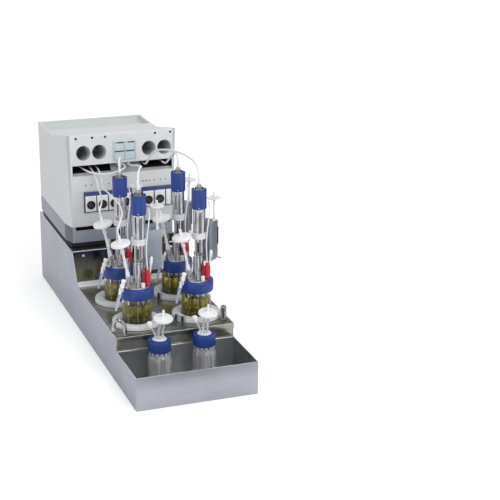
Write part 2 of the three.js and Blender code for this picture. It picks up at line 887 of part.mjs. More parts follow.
function makeBottle() {
  const { radius, neck, wall, bottom, height } = bottle;
  const neckFoot = height - bottle.neckHeight;
  const shoulder = neckFoot - bottle.shoulder;
  const outline = [
    [0, gap],
    [radius - 3, gap],
    [radius, 3],
    [radius, shoulder],
    [radius - 4, shoulder + bottle.shoulder / 2],
    [neck, neckFoot - 3],
    [neck, height],
    [neck - wall, height],
    [neck - wall, neckFoot - 3],
    [radius - 4 - wall, shoulder + bottle.shoulder / 2],
    [radius - wall, shoulder],
    [radius - wall, bottom + 1.5],
    [radius - 4, bottom],
    [0, bottom],
  ];
  return turned(outline, fine - 4);
}

function makeBottleCap() {
  const c = bottleCap;
  const outer = bottleCapBore + c.wall;
  const foot = bottle.height - c.below;
  const ribbed = new THREE.Shape();
  for (let i = 0; i < c.ribs * 2; i += 1) {
    const angle = (Math.PI * i) / c.ribs;
    const radius = i % 2 === 0 ? outer : outer - c.ribDepth;
    const point = [radius * Math.cos(angle), radius * Math.sin(angle)];
    if (i === 0) ribbed.moveTo(...point);
    else ribbed.lineTo(...point);
  }
  ribbed.closePath();
  const body = new THREE.ExtrudeGeometry(ribbed, { depth: bottleCapTop - foot, bevelEnabled: false });
  body.translate(0, 0, foot);
  const bore = rod(bottleCapBore, foot - 1, bottleCapTop - c.lip, medium + 6);
  return cut(body, bore, rod(bottleCapHole, foot, bottleCapTop + 1, medium + 6));
}

// Insert, its two tubes and the tilted vent filter that they carry, with a small side plug.
function makeBottleFilter() {
  const f = bottleFilter;
  const seat = bottle.height + gap;
  const insertTop = bottleCapTop + 1;
  const discZ = insertTop + f.discRise;
  const tilt = THREE.MathUtils.degToRad(f.tilt);
  const at = (height, x) => [x, -Math.sin(tilt) * height, discZ + Math.cos(tilt) * height];
  const discX = f.tubeXs[1] + 1;
  const pieces = [
    rod(bottle.neck - f.clearance, seat, bottleCapTop - bottleCap.lip - gap, medium),
    rod(bottleCapHole - f.clearance, seat, insertTop, medium),
    ...f.tubeXs.map((x) => bar([x, 0, insertTop - 1], at(2, x + 4), f.tubeRadius)),
    bar(at(0, discX), at(f.discHeight, discX), f.disc, f.disc, medium),
    bar(at(f.discHeight - 1, discX), at(f.discHeight + f.nubLength, discX), f.tubeRadius),
    bar([-8, 0, insertTop - 1], [-22, -4, discZ - 12], f.sideTube),
    bar([-22, -4, discZ - 13], [-26, -5.2, discZ + 2], f.sidePlug),
  ];
  return join(...pieces);
}

function buildBottles() {
  bottle.xs.forEach((x, i) => {
    const place = new THREE.Group();
    place.position.set(x, bottleY, tray.floor);
    bioreactor.add(place);
    add(`bottle_glass_${i + 1}`, makeBottle(), finishes.clearGlass, place);
    add(`bottle_cap_${i + 1}`, makeBottleCap(), finishes.blue, place);
    add(`bottle_filter_${i + 1}`, makeBottleFilter(), finishes.white, place);
  });
}

// ---- cables and gas lines ---------------------------------------------------------------------

const plugTop = base.deckHeight + tubeTop + gap + cap.height - cap.recess + cap.plugHeight + gap;
const bossFace = module_.front + cableBoss.set - gap;
const slotBack = module_.front + slot.depth - gap;

const cableRoutes = {
  drive_cable_1: [
    [20, bossFace, 402],
    [20, 124, 402],
    [18, 100, 407],
    [13, 60, 417],
    [4, 10, 431],
    [-8, -60, 448],
    [-20, -115, 462],
    [-37, -172, 476],
    [-51, -208, 482],
    [-60, -228, 473],
    [-62.5, -235, 457],
    [-62.5, -235, plugTop],
  ],
  drive_cable_2: [
    [62, slotBack, 398],
    [61.5, 155, 398.5],
    [61, 126, 401],
    [60, 104, 412],
    [61, 82, 432],
    [66, 50, 452],
    [71, 0, 468],
    [76, -50, 478],
    [82, -100, 484],
    [86.5, -155, 486],
    [87.5, -200, 483],
    [86.5, -225, 473],
    [85.5, -235, 457],
    [85.5, -235, plugTop],
  ],
  drive_cable_3: [
    [-6, bossFace, 402],
    [-6.2, 126, 402],
    [-9, 114, 404],
    [-13, 95, 410],
    [-23, 55, 424],
    [-36, 8, 445],
    [-49, -34, 465],
    [-57.5, -60, 472],
    [-62, -72, 466],
    [-62.5, -75, 455],
    [-62.5, -75, plugTop],
  ],
  drive_cable_4: [
    [112, slotBack, 399],
    [111, 150, 400],
    [108, 118, 403],
    [103, 80, 412],
    [97, 36, 432],
    [91, -14, 456],
    [87.5, -52, 470],
    [85.8, -70, 466],
    [85.5, -75, 455],
    [85.5, -75, plugTop],
  ],
};

const lineRoutes = {
  link_cable: [
    [7, bossFace, 402],
    [6.6, 125, 401.8],
    [-2, 104, 400],
    [-20, 96, 396],
    [-44, 95, 392],
    [-68, 99, 392],
    [-88, 112, 395],
    [-99, 132, 398],
    [-104, 155, 399.5],
    [-105, slotBack, 400],
  ],
  gas_line_1: [
    [-62, slotBack, 398],
    [-62, 150, 397.5],
    [-62, 122, 392],
    [-64, 96, 380],
    [-73, 45, 375],
    [-83, -10, 382],
    [-88, -48, 388],
    [-89, -90, 389],
    [-88, -130, 388],
    [-91, -185, 386],
    [-100, -225, 378],
    [-112, -246, 366],
    [-118.5, -253, 353],
    [-116.2, -253, 341.4],
  ],
  gas_line_3: [
    [-80, slotBack, 398],
    [-79, 150, 397],
    [-77, 125, 391],
    [-76, 98, 378],
    [-80, 60, 364],
    [-88, 10, 362],
    [-99, -42, 366],
    [-112, -80, 364],
    [-118.5, -93, 353],
    [-116.2, -93, 341.4],
  ],
};

function buildCords() {
  for (const [name, points] of Object.entries(cableRoutes)) {
    add(name, tube(points, cable.radius, cable.sides, cable.step), finishes.white);
  }
  for (const [name, points] of Object.entries(lineRoutes)) {
    add(name, tube(points, line.radius, line.sides, line.step), finishes.white);
  }
}

// ---- assembly -----------------------------------------------------------------------------

buildBase();
buildVessels();
buildModule();
buildBottles();
buildCords();

export default bioreactor;
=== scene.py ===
# %% [markdown]
# # A bench bioreactor, built piece by piece
#
# Four small glass vessels are stirred on a stepped steel base. A tray with two storage bottles
# stands in front, and a gas and sensor module sits behind on a rubber mat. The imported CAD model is
# the fixed frame: it says where everything is and what turns. This lesson dresses it, working from
# the view and the light, through the cords, to the sheet metal, the module, the vessels and the
# bottles. Every length in the mesh code is in millimetres and is scaled to metres once.

# %% Load the frame
import json
import math

import bmesh
import bpy
from mathutils import Matrix, Vector

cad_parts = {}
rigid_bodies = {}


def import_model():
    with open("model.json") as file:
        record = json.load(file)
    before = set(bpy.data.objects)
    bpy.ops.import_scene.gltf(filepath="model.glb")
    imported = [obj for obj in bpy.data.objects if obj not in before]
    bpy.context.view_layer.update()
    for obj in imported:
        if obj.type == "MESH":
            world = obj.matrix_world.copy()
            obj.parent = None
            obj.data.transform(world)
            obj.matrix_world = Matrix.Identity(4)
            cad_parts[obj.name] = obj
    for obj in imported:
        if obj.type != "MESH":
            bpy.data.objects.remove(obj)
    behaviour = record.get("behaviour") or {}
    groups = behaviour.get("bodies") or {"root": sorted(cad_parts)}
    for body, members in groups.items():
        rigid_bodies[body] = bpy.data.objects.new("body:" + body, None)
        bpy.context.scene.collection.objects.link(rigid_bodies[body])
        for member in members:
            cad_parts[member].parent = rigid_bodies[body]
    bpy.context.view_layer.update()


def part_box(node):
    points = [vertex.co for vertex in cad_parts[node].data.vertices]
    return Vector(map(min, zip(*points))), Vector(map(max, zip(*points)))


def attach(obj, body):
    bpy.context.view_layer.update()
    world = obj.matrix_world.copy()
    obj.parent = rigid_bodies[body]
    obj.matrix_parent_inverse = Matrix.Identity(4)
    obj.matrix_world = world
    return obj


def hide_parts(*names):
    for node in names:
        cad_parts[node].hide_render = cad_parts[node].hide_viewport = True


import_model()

MM = 0.001

# %% [markdown]
# ## The view
#
# A camera is a matrix: its columns are the directions right, up and backwards. The view is from
# the left and a little above with a long lens, about three metres off, so the upright tubes stay
# almost parallel. The heading, the tilt and a very small roll are named, and the columns follow
# from them.

# %% The camera
HEADING = math.radians(20.961)  # turned from +Y towards +X
TILT = math.radians(18.587)  # looking down
ROLL = 0.01013
FOCAL_LENGTH = 97.43  # in millimetres, on a sensor 36 mm wide
STANDS_AT = (-0.8935, -3.1288, 1.3059)  # in metres
camera_data = bpy.data.cameras.new("bench_camera")
camera_data.sensor_width = 36
camera_data.lens = FOCAL_LENGTH
camera_data.clip_end = 50
camera = bpy.data.objects.new("bench_camera", camera_data)
bpy.context.scene.collection.objects.link(camera)
bpy.context.scene.camera = camera

ahead = Vector((math.sin(HEADING) * math.cos(TILT), math.cos(HEADING) * math.cos(TILT), -math.sin(TILT)))
level_right = Vector((math.cos(HEADING), -math.sin(HEADING), 0))
level_up = level_right.cross(ahead)
right = level_right * math.cos(ROLL) + level_up * math.sin(ROLL)
up = level_up * math.cos(ROLL) - level_right * math.sin(ROLL)
axes = Matrix((right, up, -ahead)).transposed()
camera.matrix_world = Matrix.Translation(STANDS_AT) @ axes.to_4x4()
print("camera stands", round(camera.location.length, 2), "m from the origin")

# %% [markdown]
# ## Sockets in Python expressions
#
# A shader is a small program of nodes. Wiring thirty Math nodes by hand hides the idea, so one
# class wraps an output socket and turns +, -, * and / into Math nodes. `Nodes.add` makes any other
# node: its settings are set first, then its inputs, which may be plain values or wrapped sockets.
# The same two classes serve shader trees and Geometry Nodes trees.

# %% The socket wrapper
class Out:
    """An output socket that can stand in a Python expression."""

    def __init__(self, nodes, socket):
        self.nodes = nodes
        self.socket = socket

    def maths(self, operation, first, second=0.0):
        return self.nodes.add("ShaderNodeMath", {"operation": operation}, {0: first, 1: second})

    def __add__(self, other):
        return self.maths("ADD", self, other)

    def __radd__(self, other):
        return self.maths("ADD", other, self)

    def __sub__(self, other):
        return self.maths("SUBTRACT", self, other)

    def __rsub__(self, other):
        return self.maths("SUBTRACT", other, self)

    def __mul__(self, other):
        return self.maths("MULTIPLY", self, other)

    def __rmul__(self, other):
        return self.maths("MULTIPLY", other, self)

    def __truediv__(self, other):
        return self.maths("DIVIDE", self, other)

    def sine(self):
        return self.maths("SINE", self)

    def above(self, limit):
        return self.maths("GREATER_THAN", self, limit)

    def smooth(self, low, high):
        """0 below low, 1 above high, and an even slope between."""
        return self.nodes.add(
            "ShaderNodeMapRange", {"clamp": True}, {0: self, 1: low, 2: high, 3: 0.0, 4: 1.0},
        )


class Nodes:
    """A node tree with one method that adds nodes."""

    def __init__(self, tree):
        self.tree = tree

    def add(self, kind, settings=None, inputs=None, out=0):
        node = self.tree.nodes.new(kind)
        for name, value in (settings or {}).items():
            if name == "stops":
                ramp = node.color_ramp.elements
                while len(ramp) < len(value):
                    ramp.new(1.0)
                for stop, (place, colour) in zip(ramp, value):
                    stop.position = place
                    stop.color = (*colour, 1)
            else:
                setattr(node, name, value)
        for key, value in (inputs or {}).items():
            if isinstance(value, Out):
                self.tree.links.new(value.socket, node.inputs[key])
            else:
                node.inputs[key].default_value = value
        return Out(self, node.outputs[out]) if node.outputs else None

    def mix(self, factor, first, second):
        """Blends two colours."""
        pair = [(*c, 1) if isinstance(c, tuple) and len(c) == 3 else c for c in (first, second)]
        return self.add(
            "ShaderNodeMix", {"data_type": "RGBA"}, {0: factor, 6: pair[0], 7: pair[1]}, out=2,
        )


print("wrappers ready:", Out.__name__, "and", Nodes.__name__)

# %% [markdown]
# ## The room
#
# A pale floor and a pale room give soft light from everywhere, and one large lamp from the front
# and above gives it a direction. Two narrow strips only draw highlights on glass and steel. Bright
# metal shows what is round it, so the room that glossy rays see is darker overhead, as a studio is,
# and a few grey screens stand round the bench. They are seen only in reflections: upright tubes
# squeeze the whole room into narrow stripes, and the screens draw the dark ones.

# %% World
scene = bpy.context.scene
scene.view_settings.view_transform = "Standard"
world = bpy.data.worlds.new("studio")
scene.world = world
world.use_nodes = True
world.node_tree.nodes.clear()
room = Nodes(world.node_tree)
ray = room.add("ShaderNodeLightPath")
sees_camera = Out(room, ray.socket.node.outputs["Is Camera Ray"])
sees_glossy = Out(room, ray.socket.node.outputs["Is Glossy Ray"])
sees_glass = Out(room, ray.socket.node.outputs["Is Transmission Ray"])
direction = room.add("ShaderNodeTexCoord")
height = Out(room, room.add("ShaderNodeSeparateXYZ", None, {0: direction}).socket.node.outputs["Z"])
dark_dome = height.smooth(0.34, 0.52) * (1.0 - height.smooth(0.68, 0.76))
glossy_level = 1.0 - dark_dome * 0.93
soft_level = 0.80
seen = sees_camera + sees_glass * (1.0 - sees_camera)
level = seen + (1.0 - seen) * (sees_glossy * glossy_level + (1.0 - sees_glossy) * soft_level)
background = room.add("ShaderNodeBackground", None, {"Color": (1, 1, 1, 1), "Strength": level})
room.add("ShaderNodeOutputWorld", None, {"Surface": background})
print("world:", len(world.node_tree.nodes), "nodes, soft level", soft_level)

# %% Lamps
lamp_data = bpy.data.lights.new("soft_key", "AREA")
lamp_data.shape = "DISK"
lamp_data.size = 2.2
lamp_data.energy = 58
lamp = bpy.data.objects.new("soft_key", lamp_data)
lamp.location = (0.7, -3.0, 2.9)
lamp.rotation_mode = "QUATERNION"
lamp.rotation_quaternion = (Vector((0, 0, 0.2)) - lamp.location).to_track_quat("-Z", "Y")
lamp.visible_glossy = False
scene.collection.objects.link(lamp)

level_ahead = Vector((ahead.x, ahead.y, 0)).normalized()


def outward(bearing):
    """A level direction from the bench: at 0 towards the viewer, and round to the right in degrees."""
    angle = math.radians(bearing)
    return level_right * math.sin(angle) - level_ahead * math.cos(angle)


def strip_lamp(name, bearing, energy):
    """A narrow upright lamp that only draws highlights."""
    data = bpy.data.lights.new(name, "AREA")
    data.shape = "RECTANGLE"
    data.size = 0.14
    data.size_y = 1.0
    data.energy = energy
    strip = bpy.data.objects.new(name, data)
    strip.location = outward(bearing) * 2.1 + Vector((0, 0, 1.3))
    strip.rotation_mode = "QUATERNION"
    strip.rotation_quaternion = (Vector((0, -0.2, 0.15)) - strip.location).to_track_quat("-Z", "Y")
    strip.visible_diffuse = False
    scene.collection.objects.link(strip)


strip_lamp("strip_left", -52, 11)
strip_lamp("strip_right", 40, 11)
print("lamps: one from above and two strips")

# %% Floor
floor_mesh = bpy.data.meshes.new("floor")
floor_mesh.from_pydata([(-30, -30, 0), (30, -30, 0), (30, 30, 0), (-30, 30, 0)], [], [(0, 1, 2, 3)])
floor = bpy.data.objects.new("floor", floor_mesh)
floor.location.z = -0.0003
scene.collection.objects.link(floor)
floor_material = bpy.data.materials.new("pale_floor")
floor_material.use_nodes = True
floor_material.node_tree.nodes.clear()
ground = Nodes(floor_material.node_tree)
floor_ray = ground.add("ShaderNodeLightPath").socket.node.outputs
in_view = Out(ground, floor_ray["Is Camera Ray"]) + Out(ground, floor_ray["Is Transmission Ray"])
glow = ground.add("ShaderNodeEmission", None, {"Color": (1, 1, 1, 1), "Strength": in_view * 0.30})
matt = ground.add("ShaderNodeBsdfDiffuse", None, {"Color": (0.9, 0.9, 0.9, 1)})
both = ground.add("ShaderNodeAddShader", None, {0: glow, 1: matt})
ground.add("ShaderNodeOutputMaterial", None, {"Surface": both})
floor_mesh.materials.append(floor_material)
print("floor:", len(floor_material.node_tree.nodes), "nodes in its finish")

# %% Screens
SCREEN_CENTRE = Vector((0, -0.15, 0))
SCREEN_HEIGHT = Vector((0, 0, 0.42))
SCREEN_PANELS = 12


def screen_arc(name, start, end, radius, shade):
    """An upright screen between two bearings, seen only in reflections."""
    material = bpy.data.materials.new(name)
    material.use_nodes = True
    shader = material.node_tree.nodes["Principled BSDF"]
    shader.inputs["Base Color"].default_value = (shade, shade, shade * 1.06, 1)
    shader.inputs["Roughness"].default_value = 1.0
    rim = []
    for step in range(SCREEN_PANELS + 1):
        bearing = start + (end - start) * step / SCREEN_PANELS
        rim.append(SCREEN_CENTRE + outward(bearing) * radius)
    corners = [*rim, *(spot + SCREEN_HEIGHT for spot in rim)]
    over = len(rim)
    panels = [(i, i + 1, i + over + 1, i + over) for i in range(SCREEN_PANELS)]
    mesh = bpy.data.meshes.new(name)
    mesh.from_pydata(corners, [], panels)
    mesh.materials.append(material)
    screen = bpy.data.objects.new(name, mesh)
    screen.visible_camera = False
    screen.visible_diffuse = False
    screen.visible_shadow = False
    screen.visible_transmission = False
    scene.collection.objects.link(screen)


screen_arc("screen_line", -58, -34, 0.6, 0.04)
screen_arc("screen_front", 4, 52, 0.62, 0.36)
screen_arc("screen_right", 96, 128, 0.6, 0.05)
screen_arc("screen_far_right", 126, 180, 0.75, 0.09)

# %% [markdown]
# ## The cords
#
# White cables run from the bosses and slots of the module to the motors, and thin gas lines to the
# inlet filters. A cord of this stiffness leaves its exit straight, rises or falls in one curve and
# meets its plug square on, so each route is a short list of chosen points. Blender's curve object
# is the natural tool: the spline is the centreline and the bevel is the thickness. Both ends go
# into the object, and the routes are those of the CAD solids they replace.

# %% Routes, in metres
CABLE = 0.005  # thickness
LINE = 0.004  # thickness
cable_routes = {
    "drive_cable_1": [
        (0.02, 0.1357, 0.402), (0.02, 0.124, 0.402), (0.018, 0.1, 0.407), (0.013, 0.06, 0.417),
        (0.004, 0.01, 0.431), (-0.008, -0.06, 0.448), (-0.02, -0.115, 0.462),
        (-0.037, -0.172, 0.476), (-0.051, -0.208, 0.482), (-0.06, -0.228, 0.473),
        (-0.0625, -0.235, 0.457), (-0.0625, -0.235, 0.4421),
    ],
    "drive_cable_2": [
        (0.062, 0.1847, 0.398), (0.0615, 0.155, 0.3985), (0.061, 0.126, 0.401),
        (0.06, 0.104, 0.412), (0.061, 0.082, 0.432), (0.066, 0.05, 0.452), (0.071, 0, 0.468),
        (0.076, -0.05, 0.478), (0.082, -0.1, 0.484), (0.0865, -0.155, 0.486),
        (0.0875, -0.2, 0.483), (0.0865, -0.225, 0.473), (0.0855, -0.235, 0.457),
        (0.0855, -0.235, 0.4421),
    ],
    "drive_cable_3": [
        (-0.006, 0.1357, 0.402), (-0.0062, 0.126, 0.402), (-0.009, 0.114, 0.404),
        (-0.013, 0.095, 0.41), (-0.023, 0.055, 0.424), (-0.036, 0.008, 0.445),
        (-0.049, -0.034, 0.465), (-0.0575, -0.06, 0.472), (-0.062, -0.072, 0.466),
        (-0.0625, -0.075, 0.455), (-0.0625, -0.075, 0.4421),
    ],
    "drive_cable_4": [
        (0.112, 0.1847, 0.399), (0.111, 0.15, 0.4), (0.108, 0.118, 0.403), (0.103, 0.08, 0.412),
        (0.097, 0.036, 0.432), (0.091, -0.014, 0.456), (0.0875, -0.052, 0.47),
        (0.0858, -0.07, 0.466), (0.0855, -0.075, 0.455), (0.0855, -0.075, 0.4421),
    ],
}
line_routes = {
    "link_cable": [
        (0.007, 0.1357, 0.402), (0.0066, 0.125, 0.4018), (-0.002, 0.104, 0.4),
        (-0.02, 0.096, 0.396), (-0.044, 0.095, 0.392), (-0.068, 0.099, 0.392),
        (-0.088, 0.112, 0.395), (-0.099, 0.132, 0.398), (-0.104, 0.155, 0.3995),
        (-0.105, 0.1847, 0.4),
    ],
    "gas_line_1": [
        (-0.062, 0.1847, 0.398), (-0.062, 0.15, 0.3975), (-0.062, 0.122, 0.392),
        (-0.064, 0.096, 0.38), (-0.073, 0.045, 0.375), (-0.083, -0.01, 0.382),
        (-0.088, -0.048, 0.388), (-0.089, -0.09, 0.389), (-0.088, -0.13, 0.388),
        (-0.091, -0.185, 0.386), (-0.1, -0.225, 0.378), (-0.112, -0.246, 0.366),
        (-0.1185, -0.253, 0.353), (-0.1162, -0.253, 0.3414),
    ],
    "gas_line_3": [
        (-0.08, 0.1847, 0.398), (-0.079, 0.15, 0.397), (-0.077, 0.125, 0.391),
        (-0.076, 0.098, 0.378), (-0.08, 0.06, 0.364), (-0.088, 0.01, 0.362),
        (-0.099, -0.042, 0.366), (-0.112, -0.08, 0.364), (-0.1185, -0.093, 0.353),
        (-0.1162, -0.093, 0.3414),
    ],
}
print("cables:", len(cable_routes), "thinner lines:", len(line_routes))

# %% Curves from the routes
def cord_curve(name, points, thickness):
    """A smooth open curve through the points, as thick as the cord."""
    curve = bpy.data.curves.new(name, "CURVE")
    curve.dimensions = "3D"
    curve.bevel_depth = 1.0  # each knot scales this to the cord's own radius
    curve.bevel_resolution = 3
    curve.resolution_u = 8
    curve.use_fill_caps = True
    spline = curve.splines.new("BEZIER")
    spline.bezier_points.add(len(points) - 1)
    for knot, point in zip(spline.bezier_points, points):
        knot.co = point
        knot.radius = thickness / 2
        knot.handle_left_type = "AUTO"
        knot.handle_right_type = "AUTO"
    piece = bpy.data.objects.new(name, curve)
    scene.collection.objects.link(piece)
    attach(piece, "root")
    return piece


def route_length(points):
    """The length of the line through the points, in metres."""
    return sum(math.dist(a, b) for a, b in zip(points, points[1:]))


cords = []
for group, thickness in ((cable_routes, CABLE), (line_routes, LINE)):
    for node, points in group.items():
        cord = cord_curve(f"{node}_jacket", points, thickness)
        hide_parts(node)
        cords.append(cord)
        print(node, round(route_length(points), 3), "m")

# %% [markdown]
# ## Finishes
#
# Each finish is one function of Object coordinates, which are millimetres here once scaled, so a
# grain has its true size on every piece. Plastics get a faint moulding texture, sheet steel gets
# long brushed scratches, turned steel gets rings, and each has small patches of changed gloss where
# hands and cloths have been. Only colour, roughness and the bump vary; the rest are plain numbers.

# %% A finish and its patterns
def finish(name, base, roughness, metallic=0.0, **fixed):
    """A material with its shader's plain numbers set. Returns the material, its nodes, its shader."""
    material = bpy.data.materials.new(name)
    material.use_nodes = True
    shader = material.node_tree.nodes["Principled BSDF"]
    shader.inputs["Base Color"].default_value = (*base, 1)
    shader.inputs["Roughness"].default_value = roughness
    shader.inputs["Metallic"].default_value = metallic
    for socket, value in fixed.items():
        shader.inputs[socket.replace("_", " ")].default_value = value
    return material, Nodes(material.node_tree), shader


def drive(nodes, shader, **sockets):
    """Links wrapped sockets to the shader's inputs."""
    for socket, value in sockets.items():
        nodes.tree.links.new(value.socket, shader.inputs[socket.replace("_", " ")])


def place_of(nodes, stretch=(1, 1, 1), turn=(0, 0, 0)):
    """Object coordinates in millimetres, stretched so that a pattern grows long along one axis."""
    coordinates = nodes.add("ShaderNodeTexCoord", None, None, out=3)
    scale = tuple(1000 * s for s in stretch)
    return nodes.add("ShaderNodeMapping", None, {"Vector": coordinates, "Rotation": turn, "Scale": scale})


def axis_of(nodes, axis):
    """One Object coordinate in millimetres."""
    split = nodes.add(
        "ShaderNodeSeparateXYZ", None, {0: nodes.add("ShaderNodeTexCoord", None, None, out=3)},
    )
    return Out(nodes, split.socket.node.outputs[axis]) * 1000


def noise(nodes, place, size, detail=2.0):
    """Soft noise from 0 to 1 with patches of the given size in millimetres."""
    return nodes.add("ShaderNodeTexNoise", None, {"Vector": place, "Scale": 1 / size, "Detail": detail})


def bump(nodes, height, strength, depth):
    """A bump of at most depth metres."""
    return nodes.add("ShaderNodeBump", None, {"Height": height, "Strength": strength, "Distance": depth})


def plastic(name, base, roughness, grain=0.9, tone=0.05, **fixed):
    """Moulded plastic or textured paint: fine pebble grain, slow change of tone, handled patches."""
    material, nodes, shader = finish(name, base, roughness, **fixed)
    place = place_of(nodes)
    slow = noise(nodes, place, 38.0)
    pebble = noise(nodes, place, grain, 3.0)
    darker = tuple(c * (1 - tone) for c in base)
    lighter = tuple(min(1.0, c * (1 + tone)) for c in base)
    drive(
        nodes, shader,
        Base_Color=nodes.mix(slow.smooth(0.3, 0.7), darker, lighter),
        Roughness=roughness + (noise(nodes, place, 14.0) - 0.5) * 0.14,
        Normal=bump(nodes, pebble, 0.35, 0.00008),
    )
    return material


def brushed(name, base, roughness, grain, contrast=0.10, stain=0.06, painted_fade=None, metallic=1.0):
    """Brushed sheet: scratches run along the axis where grain is smallest.

    A fade, where given, is a painted reflection: it blends from another colour lower down, and gives the
    height where it starts, where it ends, and that colour.
    """
    material, nodes, shader = finish(name, base, roughness, metallic)
    scratches = noise(nodes, place_of(nodes, grain), 1.0, 4.0)
    place = place_of(nodes)
    patchiness = noise(nodes, place, 90.0, 3.0)
    dark = tuple(c * (1 - contrast - stain) for c in base)
    light = tuple(min(1.0, c * (1 + contrast)) for c in base)
    shade = scratches.smooth(0.25, 0.75) * 0.55 + patchiness.smooth(0.3, 0.7) * 0.45
    colour = nodes.mix(shade, dark, light)
    if painted_fade:
        low, high, foot = painted_fade
        foot_dark = tuple(c * (1 - contrast - stain) for c in foot)
        colour = nodes.mix(
            axis_of(nodes, "Z").smooth(low, high), nodes.mix(shade, foot_dark, foot), colour,
        )
    drive(
        nodes, shader,
        Base_Color=colour,
        Roughness=roughness + (scratches - 0.5) * 0.16 + (patchiness - 0.5) * 0.10,
        Normal=bump(nodes, scratches, 0.25, 0.00006),
    )
    return material


def turned_steel(name, base, roughness, ring=0.8):
    """Turned steel: fine rings round an upright axis and faint handling marks."""
    material, nodes, shader = finish(name, base, roughness, 1.0)
    rings = noise(nodes, place_of(nodes, (0.02, 0.02, 1)), ring, 3.0)
    marks = noise(nodes, place_of(nodes), 9.0, 3.0)
    drive(
        nodes, shader,
        Base_Color=nodes.mix(marks.smooth(0.35, 0.75), tuple(c * 0.90 for c in base), base),
        Roughness=roughness + (rings - 0.5) * 0.08 + (marks - 0.5) * 0.10,
        Normal=bump(nodes, rings, 0.2, 0.00003),
    )
    return material


sheet_steel = brushed("side_sheet_steel", (0.475, 0.49, 0.56), 0.40, (0.25, 0.012, 1.2))
tray_steel = brushed("tray_sheet_steel", (0.53, 0.545, 0.60), 0.38, (0.012, 0.25, 1.2))
tray_inside = brushed("tray_inside_steel", (0.60, 0.61, 0.61), 0.30, (0.9, 0.012, 0.9), 0.12)
deck_steel = brushed("deck_sheet_steel", (0.42, 0.42, 0.375), 0.27, (0.012, 1.6, 1.6), 0.06, 0.04)
# The sloping face's colour is a painted reflection of a dark studio: blue-black above, fading to olive
# towards the deck.
face_reflection_colours = (122, 188, (0.16, 0.155, 0.095))
face_reflection_steel = brushed(
    "face_painted_reflection_sheet", (0.018, 0.020, 0.038), 0.11, (0.012, 1.1, 1.1), 0.06, 0.03, face_reflection_colours,
)
# The cove and the fold at the top of the face wear a bright, half-metallic finish: a painted highlight.
painted_highlight_steel = brushed("painted_highlight_steel", (0.80, 0.80, 0.82), 0.40, (0.012, 1.1, 1.1), 0.08, 0.05, metallic=0.30)
edge_steel = brushed("edge_steel", (0.80, 0.80, 0.82), 0.42, (0.02, 0.02, 1.0))
tube_steel = turned_steel("turned_tube_steel", (0.62, 0.62, 0.65), 0.10)
fitting_steel = turned_steel("fitting_steel", (0.60, 0.59, 0.585), 0.22, 0.5)
lid_steel = turned_steel("lid_steel", (0.80, 0.80, 0.84), 0.34, 0.5)
dark_steel = turned_steel("dark_shaft_steel", (0.34, 0.33, 0.33), 0.24, 0.5)
pipe_steel = turned_steel("pipe_steel", (0.50, 0.50, 0.49), 0.16, 0.5)
knurled_metal = turned_steel("knurled_nickel", (0.60, 0.58, 0.52), 0.30, 0.4)
cooler_metal = brushed("anodised_cooler", (0.45, 0.50, 0.57), 0.46, (0.9, 0.9, 0.02), 0.07, 0.03)
cooler_plate = brushed("cooler_end_plate", (0.60, 0.63, 0.65), 0.44, (0.9, 0.9, 0.02), 0.05, 0.02)

blue_plastic = plastic(
    "blue_plastic", (0.014, 0.048, 0.255), 0.38, 0.7, 0.06, Coat_Weight=0.05, Coat_Roughness=0.3,
)
deep_blue = plastic("stripe_blue", (0.035, 0.065, 0.22), 0.45)
white_plastic = plastic("white_plastic", (0.82, 0.82, 0.84), 0.38, 0.7, 0.02)
collar_plastic = plastic("collar_plastic", (0.68, 0.70, 0.72), 0.42, 0.9, 0.025)
module_paint = plastic("module_paint", (0.67, 0.685, 0.695), 0.50, 0.55, 0.015)
# The well's paint is a darker, greener copy of the housing paint: a painted shade for its inner walls.
well_painted_shade = plastic("well_painted_shade", (0.61, 0.64, 0.635), 0.55, 0.55, 0.02)
grey_paint = plastic("module_base_paint", (0.285, 0.31, 0.375), 0.46, 0.55, 0.03)
bevel_paint = plastic("bevel_paint", (0.12, 0.13, 0.155), 0.50, 0.55, 0.03)
ledge_paint = plastic("ledge_paint", (0.45, 0.46, 0.47), 0.50, 0.55, 0.03)
ramp_paint = plastic("ramp_paint", (0.34, 0.35, 0.37), 0.52, 0.55, 0.03)
black_plastic = plastic("black_plastic", (0.012, 0.012, 0.014), 0.42, 0.6, 0.15)
black_rubber = plastic("black_rubber", (0.010, 0.010, 0.011), 0.72, 1.1, 0.15)
slate_frame = plastic("slate_frame", (0.045, 0.055, 0.085), 0.46, 0.6, 0.08)
red_plastic = plastic(
    "red_plastic", (0.52, 0.012, 0.025), 0.26, 1.2, 0.08, Coat_Weight=0.25, Coat_Roughness=0.15,
)
dark_red = plastic(
    "dark_red_plastic", (0.22, 0.012, 0.03), 0.30, 1.2, 0.08, Coat_Weight=0.25, Coat_Roughness=0.15,
)
dark_lens = plastic("dark_lens", (0.05, 0.05, 0.06), 0.22, 1.0, 0.1)
amber_lens = plastic("amber_lens", (0.75, 0.56, 0.10), 0.22, 1.0, 0.1)
cable_white = plastic("cable_jacket", (0.80, 0.80, 0.81), 0.46, 0.5, 0.02)
for cord in cords:
    cord.data.materials.append(cable_white)
print(len(bpy.data.materials), "materials so far")

# %% [markdown]
# Clear pieces are different: light has to go through them. Glass is the principled shader with full
# transmission and the index of borosilicate glass, so thick edges turn dark by themselves. The
# culture is a yellow green liquid with darker patches, a painted reflection of what it refracts, and
# the bottle glass has dark upright streaks, also a painted reflection. Soft clear plastic is frosted a
# little.

# %% Clear finishes
def clear(name, tint, roughness, index, through=1.0, patchiness=0.0, upright=1.0, size=11.0):
    """A clear finish whose patches are darker by the given share; upright below 1 draws them out upwards.
    On the culture and the bottle glass these patches are a painted reflection.
    """
    material, nodes, shader = finish(name, tint, roughness, Transmission_Weight=through, IOR=index)
    patches = noise(nodes, place_of(nodes, (1, 1, upright)), size, 3.0)
    shade = tuple(c * (1 - patchiness) for c in tint)
    drive(
        nodes, shader,
        Base_Color=nodes.mix(patches.smooth(0.35, 0.65), shade, tint),
        Roughness=roughness + patches * 0.03,
    )
    return material


